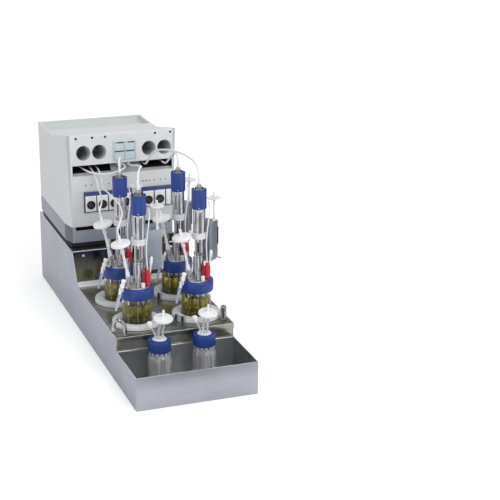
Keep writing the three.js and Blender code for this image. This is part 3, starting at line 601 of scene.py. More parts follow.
vessel_clear = clear("vessel_glass_clear", (0.96, 0.975, 0.965), 0.0, 1.47)
# The bottle glass's dark upright streaks are a painted reflection.
bottle_clear = clear("bottle_glass_clear", (0.97, 0.975, 0.98), 0.0, 1.47, 0.75, 0.40, 0.06, 6.0)
clear_plastic = clear("clear_plastic", (0.90, 0.91, 0.93), 0.10, 1.40, 0.85)
frosted_sleeve = clear("frosted_sleeve", (0.93, 0.93, 0.95), 0.22, 1.35, 0.35)
soft_tube = clear("soft_tube", (0.93, 0.94, 0.96), 0.18, 1.38, 0.62, 0.25, 0.08, 4.0)
frosted_white = clear("frosted_white", (0.92, 0.92, 0.94), 0.34, 1.35, 0.30)
lilac_tip = clear("lilac_tip", (0.76, 0.80, 0.95), 0.16, 1.40, 0.70)
# The culture's darker patches are a painted reflection of what it refracts.
culture = clear("culture_liquid", (0.72, 0.59, 0.06), 0.02, 1.34, 0.90, 0.60, 0.3, 7.0)
print(len(bpy.data.materials), "materials with the clear ones")

# %% Bores with painted shade, dark to their left
def painted_bore_shade(number, centre, radius):
    """Painted shade inside a bore: its right wall painted light and its left painted dark, for the light
    that the mouth lets in.
    """
    material, nodes, shader = finish(f"bore_painted_shade_{number}", (0.25, 0.26, 0.27), 0.6)
    across = (axis_of(nodes, "X") - (centre - radius)) / (2 * radius)
    speckle = noise(nodes, place_of(nodes), 0.6, 3.0)
    drive(
        nodes, shader,
        Base_Color=nodes.mix(across.smooth(0.1, 0.9), (0.09, 0.095, 0.105), (0.93, 0.94, 0.95)),
        Roughness=0.6 + (speckle - 0.5) * 0.1,
        Normal=bump(nodes, speckle, 0.3, 0.00006),
    )
    return material


print("each bore gets its own paint, because its dark side is set from its own centre")

# %% [markdown]
# The display is a lit panel: four pale tiles, each with a dark header and lines of small generic
# marks. A grid like that is arithmetic on the place of a point, so it is written as one. The
# coordinate is centred on the panel, and every mask is a pair of comparisons.

# %% The display's picture
def screen_finish(low, high):
    """Tiles over a panel that runs from low to high, both (x, z) in millimetres."""
    material, nodes, shader = finish("display_picture", (0.45, 0.56, 0.58), 0.22)
    across = (axis_of(nodes, "X") - low[0]) / (high[0] - low[0])
    upward = (axis_of(nodes, "Z") - low[1]) / (high[1] - low[1])

    def band(value, start, end):
        return value.above(start) * (1.0 - value.above(end))

    column = band(across, 0.06, 0.46) + band(across, 0.54, 0.94)
    headers = band(upward, 0.92, 0.985) * (band(across, 0.16, 0.47) + band(across, 0.66, 0.95))
    headers = headers + band(upward, 0.455, 0.515) * (band(across, 0.06, 0.49) + band(across, 0.55, 0.95))
    tiles = (band(upward, 0.04, 0.43) + band(upward, 0.535, 0.90)) * column
    cells = nodes.add("ShaderNodeTexBrick", {"offset": 0.0}, {
        "Vector": place_of(nodes, (1, 1, 1), (math.pi / 2, 0, 0)), "Scale": 0.16, "Mortar Size": 0.05,
        "Brick Width": 1.0, "Row Height": 0.5,
        "Color1": (1, 1, 1, 1), "Color2": (0.6, 0.6, 0.6, 1), "Mortar": (0, 0, 0, 1),
    }, out=1)
    picture = nodes.mix(tiles, (0.36, 0.45, 0.48), (0.50, 0.60, 0.62))
    picture = nodes.mix(tiles * cells * 0.35, picture, (0.24, 0.36, 0.40))
    picture = nodes.mix(headers, picture, (0.012, 0.022, 0.035))
    drive(nodes, shader, Base_Color=picture, Emission_Color=picture)
    shader.inputs["Emission Strength"].default_value = 0.06
    return material


print("the display's picture is ready to be sized to its panel")

# %% [markdown]
# ## Mesh helpers
#
# Nearly every fitting on a bioreactor was turned on a lathe, and a lathe is a profile and an axis:
# a list of radius and height pairs, spun round. The rest is swept bar, bent sheet or a soft-edged
# block. Four small functions make those, all in millimetres, and `piece` turns the mesh into an
# object in metres that rides on a body of the part.

# %% Turn, sweep, block and piece
def turn(profile, sides=64, closed=False):
    """Spins [radius, height] pairs about the upright axis. closed joins the last pair to the first."""
    bm = bmesh.new()
    rings = []
    for radius, z in profile:
        if radius <= 1e-6:
            rings.append([bm.verts.new((0, 0, z))])
        else:
            steps = [2 * math.pi * i / sides for i in range(sides)]
            rings.append([bm.verts.new((radius * math.cos(a), radius * math.sin(a), z)) for a in steps])
    pairs = list(zip(rings, rings[1:]))
    if closed:
        pairs.append((rings[-1], rings[0]))
    for low, high in pairs:
        for i in range(sides):
            j = (i + 1) % sides
            corners = [low[i % len(low)], low[j % len(low)], high[j % len(high)], high[i % len(high)]]
            corners = list(dict.fromkeys(corners))
            if len(corners) > 2:
                bm.faces.new(corners)
    bmesh.ops.recalc_face_normals(bm, faces=bm.faces)
    return bm


def sweep(points, radius, sides=16, steps=8):
    """A round bar along a smooth line through the points. radius may be one number or one a point."""
    knots = [Vector(p) for p in points]
    radii = radius if isinstance(radius, (list, tuple)) else [radius] * len(knots)
    line = []
    widths = []
    for i in range(len(knots) - 1):
        a = knots[max(i - 1, 0)]
        b = knots[i]
        c = knots[i + 1]
        d = knots[min(i + 2, len(knots) - 1)]
        for s in range(steps):
            t = s / steps
            square = (2 * a - 5 * b + 4 * c - d) * t * t
            cube = (3 * b - a - 3 * c + d) * t ** 3
            line.append(0.5 * (2 * b + (c - a) * t + square + cube))
            widths.append(radii[i] * (1 - t) + radii[i + 1] * t)
    line.append(knots[-1])
    widths.append(radii[-1])
    bm = bmesh.new()
    normal = (line[1] - line[0]).normalized().orthogonal().normalized()
    rings = []
    for i, (spot, width) in enumerate(zip(line, widths)):
        heading = (line[min(i + 1, len(line) - 1)] - line[max(i - 1, 0)]).normalized()
        normal = (normal - heading * normal.dot(heading)).normalized()
        side = heading.cross(normal)
        angles = [2 * math.pi * k / sides for k in range(sides)]
        spokes = [normal * math.cos(a) + side * math.sin(a) for a in angles]
        rings.append([bm.verts.new(spot + spoke * width) for spoke in spokes])
    for low, high in zip(rings, rings[1:]):
        for k in range(sides):
            j = (k + 1) % sides
            bm.faces.new((low[k], low[j], high[j], high[k]))
    bm.faces.new(rings[0])
    bm.faces.new(rings[-1])
    bmesh.ops.recalc_face_normals(bm, faces=bm.faces)
    return bm


def block(x, y, z, soft=0.0, segments=2):
    """A box between pairs of limits, with its edges rounded."""
    bm = bmesh.new()
    bmesh.ops.create_cube(bm, size=1)
    for vert in bm.verts:
        for axis, (low, high) in enumerate((x, y, z)):
            vert.co[axis] = low if vert.co[axis] < 0 else high
    if soft:
        bmesh.ops.bevel(bm, geom=bm.edges[:], offset=soft, segments=segments, profile=0.5, affect="EDGES")
    return bm


def extrude_side(outline, low, high):
    """A side outline of (y, z) points, carried across the width from low to high."""
    bm = bmesh.new()
    near = [bm.verts.new((low, y, z)) for y, z in outline]
    far = [bm.verts.new((high, y, z)) for y, z in outline]
    bm.faces.new(near)
    bm.faces.new(far)
    for i in range(len(outline)):
        j = (i + 1) % len(outline)
        bm.faces.new((near[i], near[j], far[j], far[i]))
    bmesh.ops.recalc_face_normals(bm, faces=bm.faces)
    return bm


def merged(*parts):
    """One mesh from several, each moved by its own matrix if it comes as a pair."""
    whole = bmesh.new()
    for part in parts:
        bm, matrix = part if isinstance(part, tuple) else (part, None)
        if matrix is not None:
            bm.transform(matrix)
        scratch = bpy.data.meshes.new("scratch")
        bm.to_mesh(scratch)
        whole.from_mesh(scratch)
        bpy.data.meshes.remove(scratch)
        bm.free()
    return whole


def shape(name, bm, *materials, angle=32):
    """A mesh datablock in millimetres, shaded smooth up to an angle."""
    mesh = bpy.data.meshes.new(name)
    bm.to_mesh(mesh)
    bm.free()
    for material in materials:
        mesh.materials.append(material)
    mesh.shade_smooth()
    mesh.set_sharp_from_angle(angle=math.radians(angle))
    return mesh


# turns that lay an upright profile down, with its top to the back or to the front
BACKWARDS = Matrix.Rotation(-math.pi / 2, 4, "X")
FORWARDS = Matrix.Rotation(math.pi / 2, 4, "X")


def piece(name, mesh, body="root", at=(0, 0, 0), turned=0.0, slot=None, replaces=()):
    """An object that wears a copy of the mesh, placed in its vertices, in metres."""
    copy = mesh.copy()
    move = Matrix.Scale(MM, 4) @ Matrix.Translation(at) @ Matrix.Rotation(turned, 4, "Z")
    copy.transform(move)
    copy.name = name
    thing = bpy.data.objects.new(name, copy)
    scene.collection.objects.link(thing)
    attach(thing, body)
    if replaces:
        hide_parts(*replaces)
    return thing


print("mesh helpers ready")

# %% [markdown]
# ## The stepped base
#
# The base is bent from stainless sheet: one plate on each side, and between them a sheet that runs
# down from the rear top, over a sloping face, through a small cove and out along the deck to a
# folded lip. A side outline carried across the width says exactly that, so the outline is written
# once and cut three times: two thin side plates and the body between them, a hair lower, which
# leaves the bright line along the plates' top edges. The four wells are cut with a Boolean.

# %% The side outline
def box_mm(node):
    """A CAD node's box in millimetres."""
    low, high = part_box(node)
    return [v / MM for v in low], [v / MM for v in high]


base_low, base_high = box_mm("base_housing")
tray_low, tray_high = box_mm("utility_tray")
collar_low, collar_high = box_mm("well_collar_1")
DECK = round(collar_low[2], 1) - 0.3
REAR_TOP = base_high[2]
FACE_FOOT = 48.0  # where the sloping face meets the deck
FACE_HEAD = 100.0  # where it meets the rear top
COVE = 10.0  # the radius between face and deck
COVE_HIGHLIGHT_BAND = 11.0  # how far up the face the cove's painted highlight reaches
LIP = 3.0
LIP_DROP = 14.0
SHEET_EDGE = 143.2  # half the width of the sheet between the side plates
PLATE_INSIDE = 143.4
PLATE_OUTSIDE = 145.0
vessels = []
for number in (1, 2, 3, 4):
    low, high = box_mm(f"well_collar_{number}")
    vessels.append(((low[0] + high[0]) / 2, (low[1] + high[1]) / 2))
print("deck at", DECK, "vessels at", [(round(x), round(y)) for x, y in vessels])


def base_outline(lower=0.0, steps=14):
    """The base from the side, as (y, z) points, with its upper edge lowered a little if asked."""
    slope = math.atan2(REAR_TOP - DECK, FACE_HEAD - FACE_FOOT)
    reach = COVE * math.tan(slope / 2)
    deck = DECK - lower
    top = REAR_TOP - lower
    front = base_low[1]
    cove = []
    for i in range(steps + 1):
        angle = -math.pi / 2 + slope * i / steps
        cove.append((FACE_FOOT - reach + COVE * math.cos(angle), deck + COVE + COVE * math.sin(angle)))
    ends = [(front + LIP, 0), (base_high[1], 0), (base_high[1], top), (FACE_HEAD, top)]
    ends.append((FACE_FOOT + COVE_HIGHLIGHT_BAND / math.tan(slope), deck + COVE_HIGHLIGHT_BAND))
    return ends + cove[::-1] + [(front, deck), (front, deck - LIP_DROP), (front + LIP, deck - LIP_DROP)]


# %% Booleans and soft edges
def carve(mesh, tools, name):
    """Cuts meshes from a mesh with the exact solver. The cut faces keep the tools' materials."""
    body = bpy.data.objects.new(name, mesh)
    scene.collection.objects.link(body)
    cutters = bpy.data.collections.new(name + "_tools")
    for tool in tools:
        cutters.objects.link(bpy.data.objects.new("tool", tool))
    modifier = body.modifiers.new("cut", "BOOLEAN")
    modifier.operand_type = "COLLECTION"
    modifier.operation = "DIFFERENCE"
    modifier.solver = "EXACT"
    modifier.collection = cutters
    modifier.material_mode = "TRANSFER"
    evaluated = body.evaluated_get(bpy.context.evaluated_depsgraph_get())
    result = bpy.data.meshes.new_from_object(evaluated)
    bpy.data.objects.remove(body)
    for tool in list(cutters.objects):
        bpy.data.objects.remove(tool)
    bpy.data.collections.remove(cutters)
    result.shade_smooth()
    result.set_sharp_from_angle(angle=math.radians(30))
    return result


def soften(bm, width, limit=40, segments=2):
    """Rounds every edge that turns by more than the limit."""
    sharp = [e for e in bm.edges if len(e.link_faces) == 2 and e.calc_face_angle(0) > math.radians(limit)]
    bmesh.ops.bevel(bm, geom=sharp, offset=width, segments=segments, profile=0.5, affect="EDGES")
    return bm


print("sheet outline:", len(base_outline()), "points")

# %% The base
WELL_RADIUS = 36.3
WELL_DEPTH = 30.3
ON_FACE = 1  # places in the deck sheet's list of finishes
ON_LIP = 2
ON_COVE_HIGHLIGHT = 3
ON_PLATE_EDGE = 1  # and in a side plate's
wells = []
for x, y in vessels:
    floor_at = DECK - WELL_DEPTH
    well = turn([(0, floor_at), (WELL_RADIUS, floor_at), (WELL_RADIUS, DECK + 5), (0, DECK + 5)], 72)
    well.transform(Matrix.Translation((x, y, 0)))
    wells.append(shape("well_tool", well, dark_steel))
inner = soften(extrude_side(base_outline(0.5), -SHEET_EDGE, SHEET_EDGE), 0.9, segments=3)
inner_mesh = shape("deck_body", inner, deck_steel, face_reflection_steel, edge_steel, painted_highlight_steel)
for polygon in inner_mesh.polygons:
    normal = polygon.normal
    middle = polygon.center
    in_cove = abs(middle.y - FACE_FOOT) < 9 and DECK - 0.3 < middle.z < DECK + COVE_HIGHLIGHT_BAND
    if normal.y < -0.5 and middle.z > DECK + COVE_HIGHLIGHT_BAND:
        polygon.material_index = ON_FACE
    elif in_cove and -0.9 < normal.y < -0.2:
        polygon.material_index = ON_COVE_HIGHLIGHT
    elif middle.y < base_low[1] + 1.6 and middle.z > DECK - 2.0 and 0.15 < normal.z < 0.99:
        polygon.material_index = ON_LIP
base_body = piece(
    "deck_sheet", carve(inner_mesh, wells, "deck"), slot="brushed_steel",
    replaces=("base_housing",),
)
for label, x0, x1 in (("left", -PLATE_OUTSIDE, -PLATE_INSIDE), ("right", PLATE_INSIDE, PLATE_OUTSIDE)):
    side_plate = soften(extrude_side(base_outline(), x0, x1), 0.35)
    plate_mesh = shape("side_plate", side_plate, sheet_steel, edge_steel)
    for polygon in plate_mesh.polygons:
        if abs(polygon.normal.x) < 0.75:
            polygon.material_index = ON_PLATE_EDGE
    piece(f"side_plate_{label}", plate_mesh, slot="brushed_steel")
FOLD_EDGE = 143  # half the length of the fold at the top of the face, painted bright as a highlight
fold_y = FACE_HEAD + 0.6
fold_z = REAR_TOP - 1.6
fold_line = [(-FOLD_EDGE, fold_y, fold_z), (0, fold_y, fold_z), (FOLD_EDGE, fold_y, fold_z)]
fold = sweep(fold_line, 1.6, 16, 2)
piece("face_top_fold", shape("face_fold", fold, painted_highlight_steel), slot="brushed_steel")
print("base:", len(base_body.data.polygons), "faces on the deck sheet")

# %% [markdown]
# The sloping face carries a round button screw near each side. It is a low dome, turned once and
# copied, and it is tilted to stand square on the slope.

# %% Button screws on the sloping face
BUTTON_OUT = 117.4
BUTTON_UP = 180.4
slope = math.atan2(REAR_TOP - DECK, FACE_HEAD - FACE_FOOT)
button = turn([(0, 0), (3.6, 0), (3.6, 0.6), (3.2, 1.5), (2.2, 2.1), (0.9, 2.3), (0, 2.3)], 32)
button_mesh = shape("button_screw", button, edge_steel)
for label, x in (("left", -BUTTON_OUT), ("right", BUTTON_OUT)):
    screw = button_mesh.copy()
    spot = Vector((x, FACE_FOOT + (BUTTON_UP - DECK) / math.tan(slope), BUTTON_UP))
    screw.transform(Matrix.Translation(spot) @ Matrix.Rotation(slope, 4, "X"))
    piece(f"button_screw_{label}", screw, slot="polished_steel")
print("face slopes at", round(math.degrees(slope), 1), "degrees")

# %% [markdown]
# ## The utility tray
#
# The tray is one folded sheet with welded corners: four thin walls and a floor. Outside it is
# brushed along its length; inside, the floor mirrors the bottles. An open box is made by a block
# with another block taken away, then every fold gets a small radius.

# %% The tray
TRAY_WALL = 2.0
TRAY_FLOOR = 2.5
tray_block = block((tray_low[0], tray_high[0]), (tray_low[1], tray_high[1]), (0, tray_high[2]))
outer_tray = soften(tray_block, 0.7)
hollow = block(
    (tray_low[0] + TRAY_WALL, tray_high[0] - TRAY_WALL),
    (tray_low[1] + TRAY_WALL, tray_high[1] - TRAY_WALL),
    (TRAY_FLOOR, tray_high[2] + 20),
    1.5, 3,
)
tray_mesh = carve(
    shape("tray", outer_tray, tray_steel), [shape("tray_tool", hollow, tray_inside)], "tray",
)
rim = len(tray_mesh.materials)
tray_mesh.materials.append(edge_steel)
tray_mesh.materials.append(sheet_steel)
for polygon in tray_mesh.polygons:
    if polygon.center.z > tray_high[2] - 0.75 and polygon.normal.z > 0.3:
        polygon.material_index = rim
    elif abs(polygon.normal.x) > 0.9 and abs(polygon.center.x) > tray_high[0] - 0.5:
        polygon.material_index = rim + 1
tray_piece = piece("folded_tray", tray_mesh, slot="brushed_steel", replaces=("utility_tray",))
hem_y = tray_high[1] - 1.7
hem_z = tray_high[2] - 1.5
hem_line = [(tray_low[0] + 1.8, hem_y, hem_z), (0, hem_y, hem_z), (tray_high[0] - 1.8, hem_y, hem_z)]
hem = sweep(hem_line, 1.5, 16, 2)
piece("tray_back_hem", shape("tray_hem", hem, edge_steel), slot="brushed_steel")
print("tray:", len(tray_piece.data.polygons), "faces")

# %% [markdown]
# ## Collars, gooseneck and post
#
# A pale ring lies round each well. Its section is a bevelled strip, so it is turned. At the left
# front corner a bent steel pipe brings coolant up and over, and at the right a domed post guides
# the cable. The pipe is a sweep and the post is turned. Two clear clips with black windows hold
# the front right collar and one the rear right, as small blocks.

# %% Collars
COLLAR_TOP = collar_high[2] - DECK
COLLAR_RADIUS = (collar_high[0] - collar_low[0]) / 2
collar_profile = [
    (WELL_RADIUS, 0.3), (COLLAR_RADIUS - 0.4, 0.3), (COLLAR_RADIUS, 0.8),
    (COLLAR_RADIUS, COLLAR_TOP - 2.6), (COLLAR_RADIUS - 0.6, COLLAR_TOP - 1.0),
    (COLLAR_RADIUS - 2.0, COLLAR_TOP - 0.25), (COLLAR_RADIUS - 3.2, COLLAR_TOP),
    (WELL_RADIUS + 5.0, COLLAR_TOP), (WELL_RADIUS + 4.2, COLLAR_TOP - 0.8),
    (WELL_RADIUS + 0.9, COLLAR_TOP - 1.2), (WELL_RADIUS, COLLAR_TOP - 2.0),
]
collar_mesh = shape("collar", turn(collar_profile, 96, closed=True), collar_plastic)
for number, (x, y) in enumerate(vessels, 1):
    hidden = (f"well_collar_{number}",)
    piece(
        f"collar_ring_{number}", collar_mesh, at=(x, y, DECK), slot="pale_grey_plastic",
        replaces=hidden,
    )
print("collars:", len(vessels), "of", round(2 * COLLAR_RADIUS, 1), "mm")

# %% Clips on the collars
CLIP_TALL = 18.0
clip = merged(
    block((-6.0, -2.0), (-2.2, 2.2), (0.3, CLIP_TALL), 1.0),
    block((1.9, 6.0), (-2.2, 2.2), (0.3, CLIP_TALL), 1.0),
    block((-2.1, 2.0), (-2.0, 2.0), (0.6, CLIP_TALL - 1.0), 0.3),
    block((-5.0, 5.0), (1.0, 7.6), (COLLAR_TOP + 0.1, COLLAR_TOP + 2.0), 0.7),
)
clip_mesh = shape("clip", clip, clear_plastic)
clip_window = block((-3.4, 3.4), (-3.1, -2.25), (2.0, CLIP_TALL - 0.8), 0.25)
window_mesh = shape("clip_window", clip_window, black_plastic)
CLIP_AWAY = 62.0  # from the vessel's axis
clips = [(vessels[1], 203), (vessels[1], 221), (vessels[3], 211)]
for number, ((x, y), bearing) in enumerate(clips, 1):
    angle = math.radians(bearing)
    spot = (x + CLIP_AWAY * math.cos(angle), y + CLIP_AWAY * math.sin(angle), DECK)
    facing = math.radians(bearing - 270)
    piece(f"collar_clip_{number}", clip_mesh, at=spot, turned=facing, slot="clear_plastic")
    piece(f"clip_window_{number}", window_mesh, at=spot, turned=facing, slot="black_plastic")
print("clips:", len(clips))

# %% Gooseneck and post
GOOSE_FOOT = (-120.0, -305.0)
GOOSE_END = (-139.5, -279.0)
GOOSE_RISE = 17.0  # where the bend starts
reach = math.dist(GOOSE_FOOT, GOOSE_END) / 2
bend = [(*GOOSE_FOOT, 1.5), (*GOOSE_FOOT, 9), (*GOOSE_FOOT, GOOSE_RISE)]
for i in range(1, 9):
    angle = math.pi * i / 8
    along = (1 - math.cos(angle)) / 2
    bend.append((
        GOOSE_FOOT[0] + (GOOSE_END[0] - GOOSE_FOOT[0]) * along,
        GOOSE_FOOT[1] + (GOOSE_END[1] - GOOSE_FOOT[1]) * along,
        GOOSE_RISE + reach * math.sin(angle),
    ))
bend.append((*GOOSE_END, GOOSE_RISE - 6))
foot_ring = [(0, 0.3), (7.6, 0.3), (8.0, 0.8), (8.0, 2.2), (6.8, 3.0), (4.8, 3.2), (4.4, 5.0), (0, 5.0)]
end_collar = [(0, 0), (5.2, 0), (5.2, 1.8), (0, 1.8)]
pipe_nut = turn([(0, 0), (4.9, 0), (5.7, 0.7), (5.7, 5.8), (4.9, 6.5), (0, 6.5)], 6)
gooseneck = merged(
    sweep(bend, 4.7, 24, 6),
    (turn(foot_ring, 40), Matrix.Translation((*GOOSE_FOOT, 0))),
)
goose_end = merged(
    (pipe_nut, Matrix.Translation((*GOOSE_END, GOOSE_RISE - 13))),
    (turn(end_collar, 32), Matrix.Translation((*GOOSE_END, GOOSE_RISE - 6.4))),
)
goose_mesh = shape("gooseneck", gooseneck, pipe_steel)
piece("gooseneck_pipe", goose_mesh, at=(0, 0, DECK), slot="polished_steel", replaces=("gooseneck",))
goose_end_mesh = shape("gooseneck_nut", goose_end, edge_steel)
piece("gooseneck_nut", goose_end_mesh, at=(0, 0, DECK), slot="polished_steel")

dome = [(7 * math.cos(a), 31 + 7 * math.sin(a)) for a in (math.pi / 2 * i / 10 for i in range(10))]
post_profile = [
    (0, 0.3), (8.2, 0.3), (8.5, 0.7), (8.5, 3.3), (7.9, 4.0), (7.0, 4.2), (7.0, 24.2), (6.5, 24.5),
]
post_profile += [(6.5, 25.4), (7.0, 25.8)] + dome + [(0, 38)]
post_mesh = shape("post", turn(post_profile, 48), dark_steel)
piece(
    "guide_post_dome", post_mesh, at=(128.5, -288, DECK), slot="polished_steel",
    replaces=("guide_post",),
)
print("gooseneck and post stand on the deck")

# %% [markdown]
# ## The module's housing
#
# The housing is one painted shell with bevelled front corners, a dished top behind a wedge, four
# deep tilted holes that store sensors, and two dark cable outlets with a slope between them. It is
# a solid with things taken away, so it is made that way: the side outline is carried across, the
# corners and edges are rounded first, and then every hole is cut by a tool that wears the finish
# of the surface it leaves behind.

# %% The shell
house_low, house_high = box_mm("module_housing")
HOUSE = house_low[2]
FRONT = 128.0
BACK = house_high[1]
LEFT_EDGE = house_low[0]
RIGHT_EDGE = house_high[0]
REAR_LEVEL = HOUSE + 207
FOLD = 300.0  # where the wedge ends and the level top begins
BEVEL_FOOT = 42  # how far back the corner's bevel reaches at the bottom
BEVEL_HEAD = 4  # and at the top


def corner_tool(side, front, bottom, top, bottom_depth, top_depth, width=11.0):
    """The wedge a front corner loses: it reaches further back at the bottom than at the top."""
    edge = RIGHT_EDGE if side > 0 else LEFT_EDGE
    bm = bmesh.new()
    rings = []
    for z, depth in ((bottom, bottom_depth), (top, top_depth)):
        spots = [
            (edge + side * 4, front - 4), (edge - side * width, front - 4), (edge - side * width, front),
            (edge, front + depth), (edge + side * 4, front + depth),
        ]
        rings.append([bm.verts.new((x, y, z)) for x, y in spots])
    bm.faces.new(rings[0])
    bm.faces.new(rings[1])
    for i in range(5):
        j = (i + 1) % 5
        bm.faces.new((rings[0][i], rings[0][j], rings[1][j], rings[1][i]))
    bmesh.ops.recalc_face_normals(bm, faces=bm.faces)
    return bm


def bevelled(body, name, front, low, high, depths, finish, width=11.0):
    """The body with both front corners cut off, from a little below it to a little above it."""
    tools = [
        shape("corner_tool", corner_tool(side, front, low - 2, high + 2, *depths, width), finish)
        for side in (-1, 1)
    ]
    return carve(body, tools, name)


def rounded_off(mesh, width, limit, segments):
    """The mesh with its flat faces whole again after a cut, and its sharp edges rounded."""
    bm = bmesh.new()
    bm.from_mesh(mesh)
    bmesh.ops.dissolve_limit(bm, angle_limit=math.radians(0.5), verts=bm.verts, edges=bm.edges)
    return soften(bm, width, limit, segments)


shell_outline = [
    (FRONT, HOUSE), (BACK, HOUSE), (BACK, REAR_LEVEL), (FOLD, REAR_LEVEL), (FRONT, house_high[2]),
]
shell = shape("shell", extrude_side(shell_outline, LEFT_EDGE, RIGHT_EDGE), module_paint)
shell = bevelled(shell, "shell", FRONT, HOUSE, house_high[2], (BEVEL_FOOT, BEVEL_HEAD), module_paint)
shell = shape("rounded_shell", rounded_off(shell, 1.1, 12, 3), module_paint)
print("shell:", len(shell.polygons), "faces before its holes")

# %% [markdown]
# A sensor hole is a long bore, tilted down towards the back, with a small chamfer at its mouth. The
# outlets have a ledge that slopes up to a flat floor. The bores wear a painted shade: pale paint on
# their right walls, which the light reaches, and dark on their left. The outlets open into the dark
# inside, and their deep faces are painted black as a painted shade for it.

# %% What is cut from it
TILT_HOLE = math.radians(8)
HOLE_RADIUS = 18.5
HOLE_UP = HOUSE + 194
DOT_UP = HOUSE + 233
hole_profile = [
    (0, -14), (20.5, -14), (19.4, -0.2), (HOLE_RADIUS, 0.9), (HOLE_RADIUS, 118), (17.0, 120), (0, 120),
]
hole_turn = Matrix.Rotation(-math.pi / 2 - TILT_HOLE, 4, "X")
tools = []
hole_xs = (LEFT_EDGE + 45, LEFT_EDGE + 86.5, RIGHT_EDGE - 72.5, RIGHT_EDGE - 31)
for number, x in enumerate(hole_xs, 1):
    bore = turn(hole_profile, 72)
    bore.transform(Matrix.Translation((x, FRONT, HOLE_UP)) @ hole_turn)
    tools.append(shape("bore_tool", bore, painted_bore_shade(number, x, HOLE_RADIUS)))
for x in (LEFT_EDGE + 26, LEFT_EDGE + 68, LEFT_EDGE + 102, RIGHT_EDGE - 56, RIGHT_EDGE - 15):
    dot = turn([(0, -5), (3.1, -5), (3.1, 6), (0, 6)], 24)
    dot.transform(Matrix.Translation((x, FRONT, DOT_UP)) @ BACKWARDS)
    tools.append(shape("dot_tool", dot, black_plastic))

SLOT_FOOT = HOUSE + 135
SLOT_FLOOR = HOUSE + 144
SLOT_HEAD = HOUSE + 162.5
SLOT_DEPTH = 57.0
LEDGE = 12.0  # how far in the outlet's floor is painted
ON_LEDGE = 1  # the paint's place in the outlet's list of finishes
SLOT_LEFT = (LEFT_EDGE + 15, -27.0)
SLOT_RIGHT = (55.0, RIGHT_EDGE - 11)
outlet_outline = [
    (FRONT - 6, SLOT_FOOT), (FRONT, SLOT_FOOT), (FRONT + LEDGE, SLOT_FOOT + LEDGE * 9 / 22),
    (FRONT + 22, SLOT_FLOOR), (FRONT + SLOT_DEPTH, SLOT_FLOOR),
    (FRONT + SLOT_DEPTH, SLOT_HEAD), (FRONT - 6, SLOT_HEAD),
]
# The outlets' deep faces wear black, a painted shade for the unlit inside of the housing.
for low, high in (SLOT_LEFT, SLOT_RIGHT):
    outlet = shape("outlet_tool", extrude_side(outlet_outline, low, high), black_plastic, ledge_paint)
    for polygon in outlet.polygons:
        if polygon.normal.y > 0.1 and polygon.center.y < FRONT + LEDGE:
            polygon.material_index = ON_LEDGE
    tools.append(outlet)
ramp_outline = [
    (FRONT - 6, SLOT_FOOT), (FRONT, SLOT_FOOT), (FRONT + 37, SLOT_HEAD), (FRONT - 6, SLOT_HEAD),
]
ramp = extrude_side(ramp_outline, SLOT_LEFT[1] - 0.5, SLOT_RIGHT[0] + 0.5)
tools.append(shape("ramp_tool", ramp, ramp_paint))
well = block((LEFT_EDGE + 6, RIGHT_EDGE - 6), (345, BACK - 6), (HOUSE + 193, HOUSE + 240), 2.0, 3)
tools.append(shape("well_tool", well, well_painted_shade))
pocket = block((-24.5, 39), (FRONT - 4, FRONT + 1.5), (HOUSE + 166, HOUSE + 220), 0.6)
tools.append(shape("panel_tool", pocket, slate_frame))
house_mesh = carve(shell, tools, "house")
house = piece("module_shell", house_mesh, slot="light_grey_plastic", replaces=("module_housing",))
print("housing:", len(house.data.polygons), "faces, finishes", [m.name for m in house.data.materials])

# %% Cable bosses and side screws
BOSS_UP = HOUSE + 155
BOSS_SUNK = 8  # how far behind the front face a boss starts
SCREW_SUNK = 0.62  # how far a side screw's head is let into the wall
boss = turn([(0, 0), (3.2, 0), (3.6, 0.5), (4.5, 6), (4.5, 30), (0, 30)], 32)
boss_mesh = shape("boss", boss, white_plastic)
for number, x in enumerate((-6, 7, 20), 1):
    sleeve = boss_mesh.copy()
    sleeve.transform(Matrix.Translation((x, FRONT + BOSS_SUNK, BOSS_UP)) @ BACKWARDS)
    piece(f"cable_boss_{number}", sleeve, slot="light_grey_plastic")
screw_head = turn([(0, 0), (2.2, 0), (2.2, 0.3), (1.6, 0.7), (0, 0.8)], 24)
screw_mesh = shape("side_screw", screw_head, ledge_paint)
for number, (y, z) in enumerate(((172, 158), (176, 84)), 1):
    for label, edge, side in (("left", LEFT_EDGE, -1), ("right", RIGHT_EDGE, 1)):
        screw = screw_mesh.copy()
        turn_out = Matrix.Rotation(side * math.pi / 2, 4, "Y")
        screw.transform(Matrix.Translation((edge - side * SCREW_SUNK, y, HOUSE + z)) @ turn_out)
        piece(f"side_screw_{label}_{number}", screw, slot="grey_paint")

# %% [markdown]
# ## Module base, mat and display
#
# Under the shell is a darker base with a long air slot, and under that a black rubber mat. Both
# repeat the shell's bevelled corners. The display stands a little proud of its pocket.

# %% Base
foot_low, foot_high = box_mm("module_base")
foot_box = block((foot_low[0], foot_high[0]), (FRONT, BACK), (foot_low[2], foot_high[2]))
foot = shape("foot", foot_box, grey_paint)
foot = bevelled(foot, "foot", FRONT, foot_low[2], foot_high[2], (BEVEL_FOOT, BEVEL_FOOT), bevel_paint)
foot_round = shape("foot_round", rounded_off(foot, 0.8, 20, 2), *foot.materials)
vent_tool = block(
    (LEFT_EDGE + 19, RIGHT_EDGE - 17), (FRONT - 4, FRONT + 18),
    (foot_high[2] - 9, foot_high[2] + 4),
)
foot = carve(foot_round, [shape("vent_tool", vent_tool, black_plastic)], "foot")
piece("module_foot", foot, slot="grey_paint", replaces=("module_base",))
print("base:", len(foot.polygons), "faces")

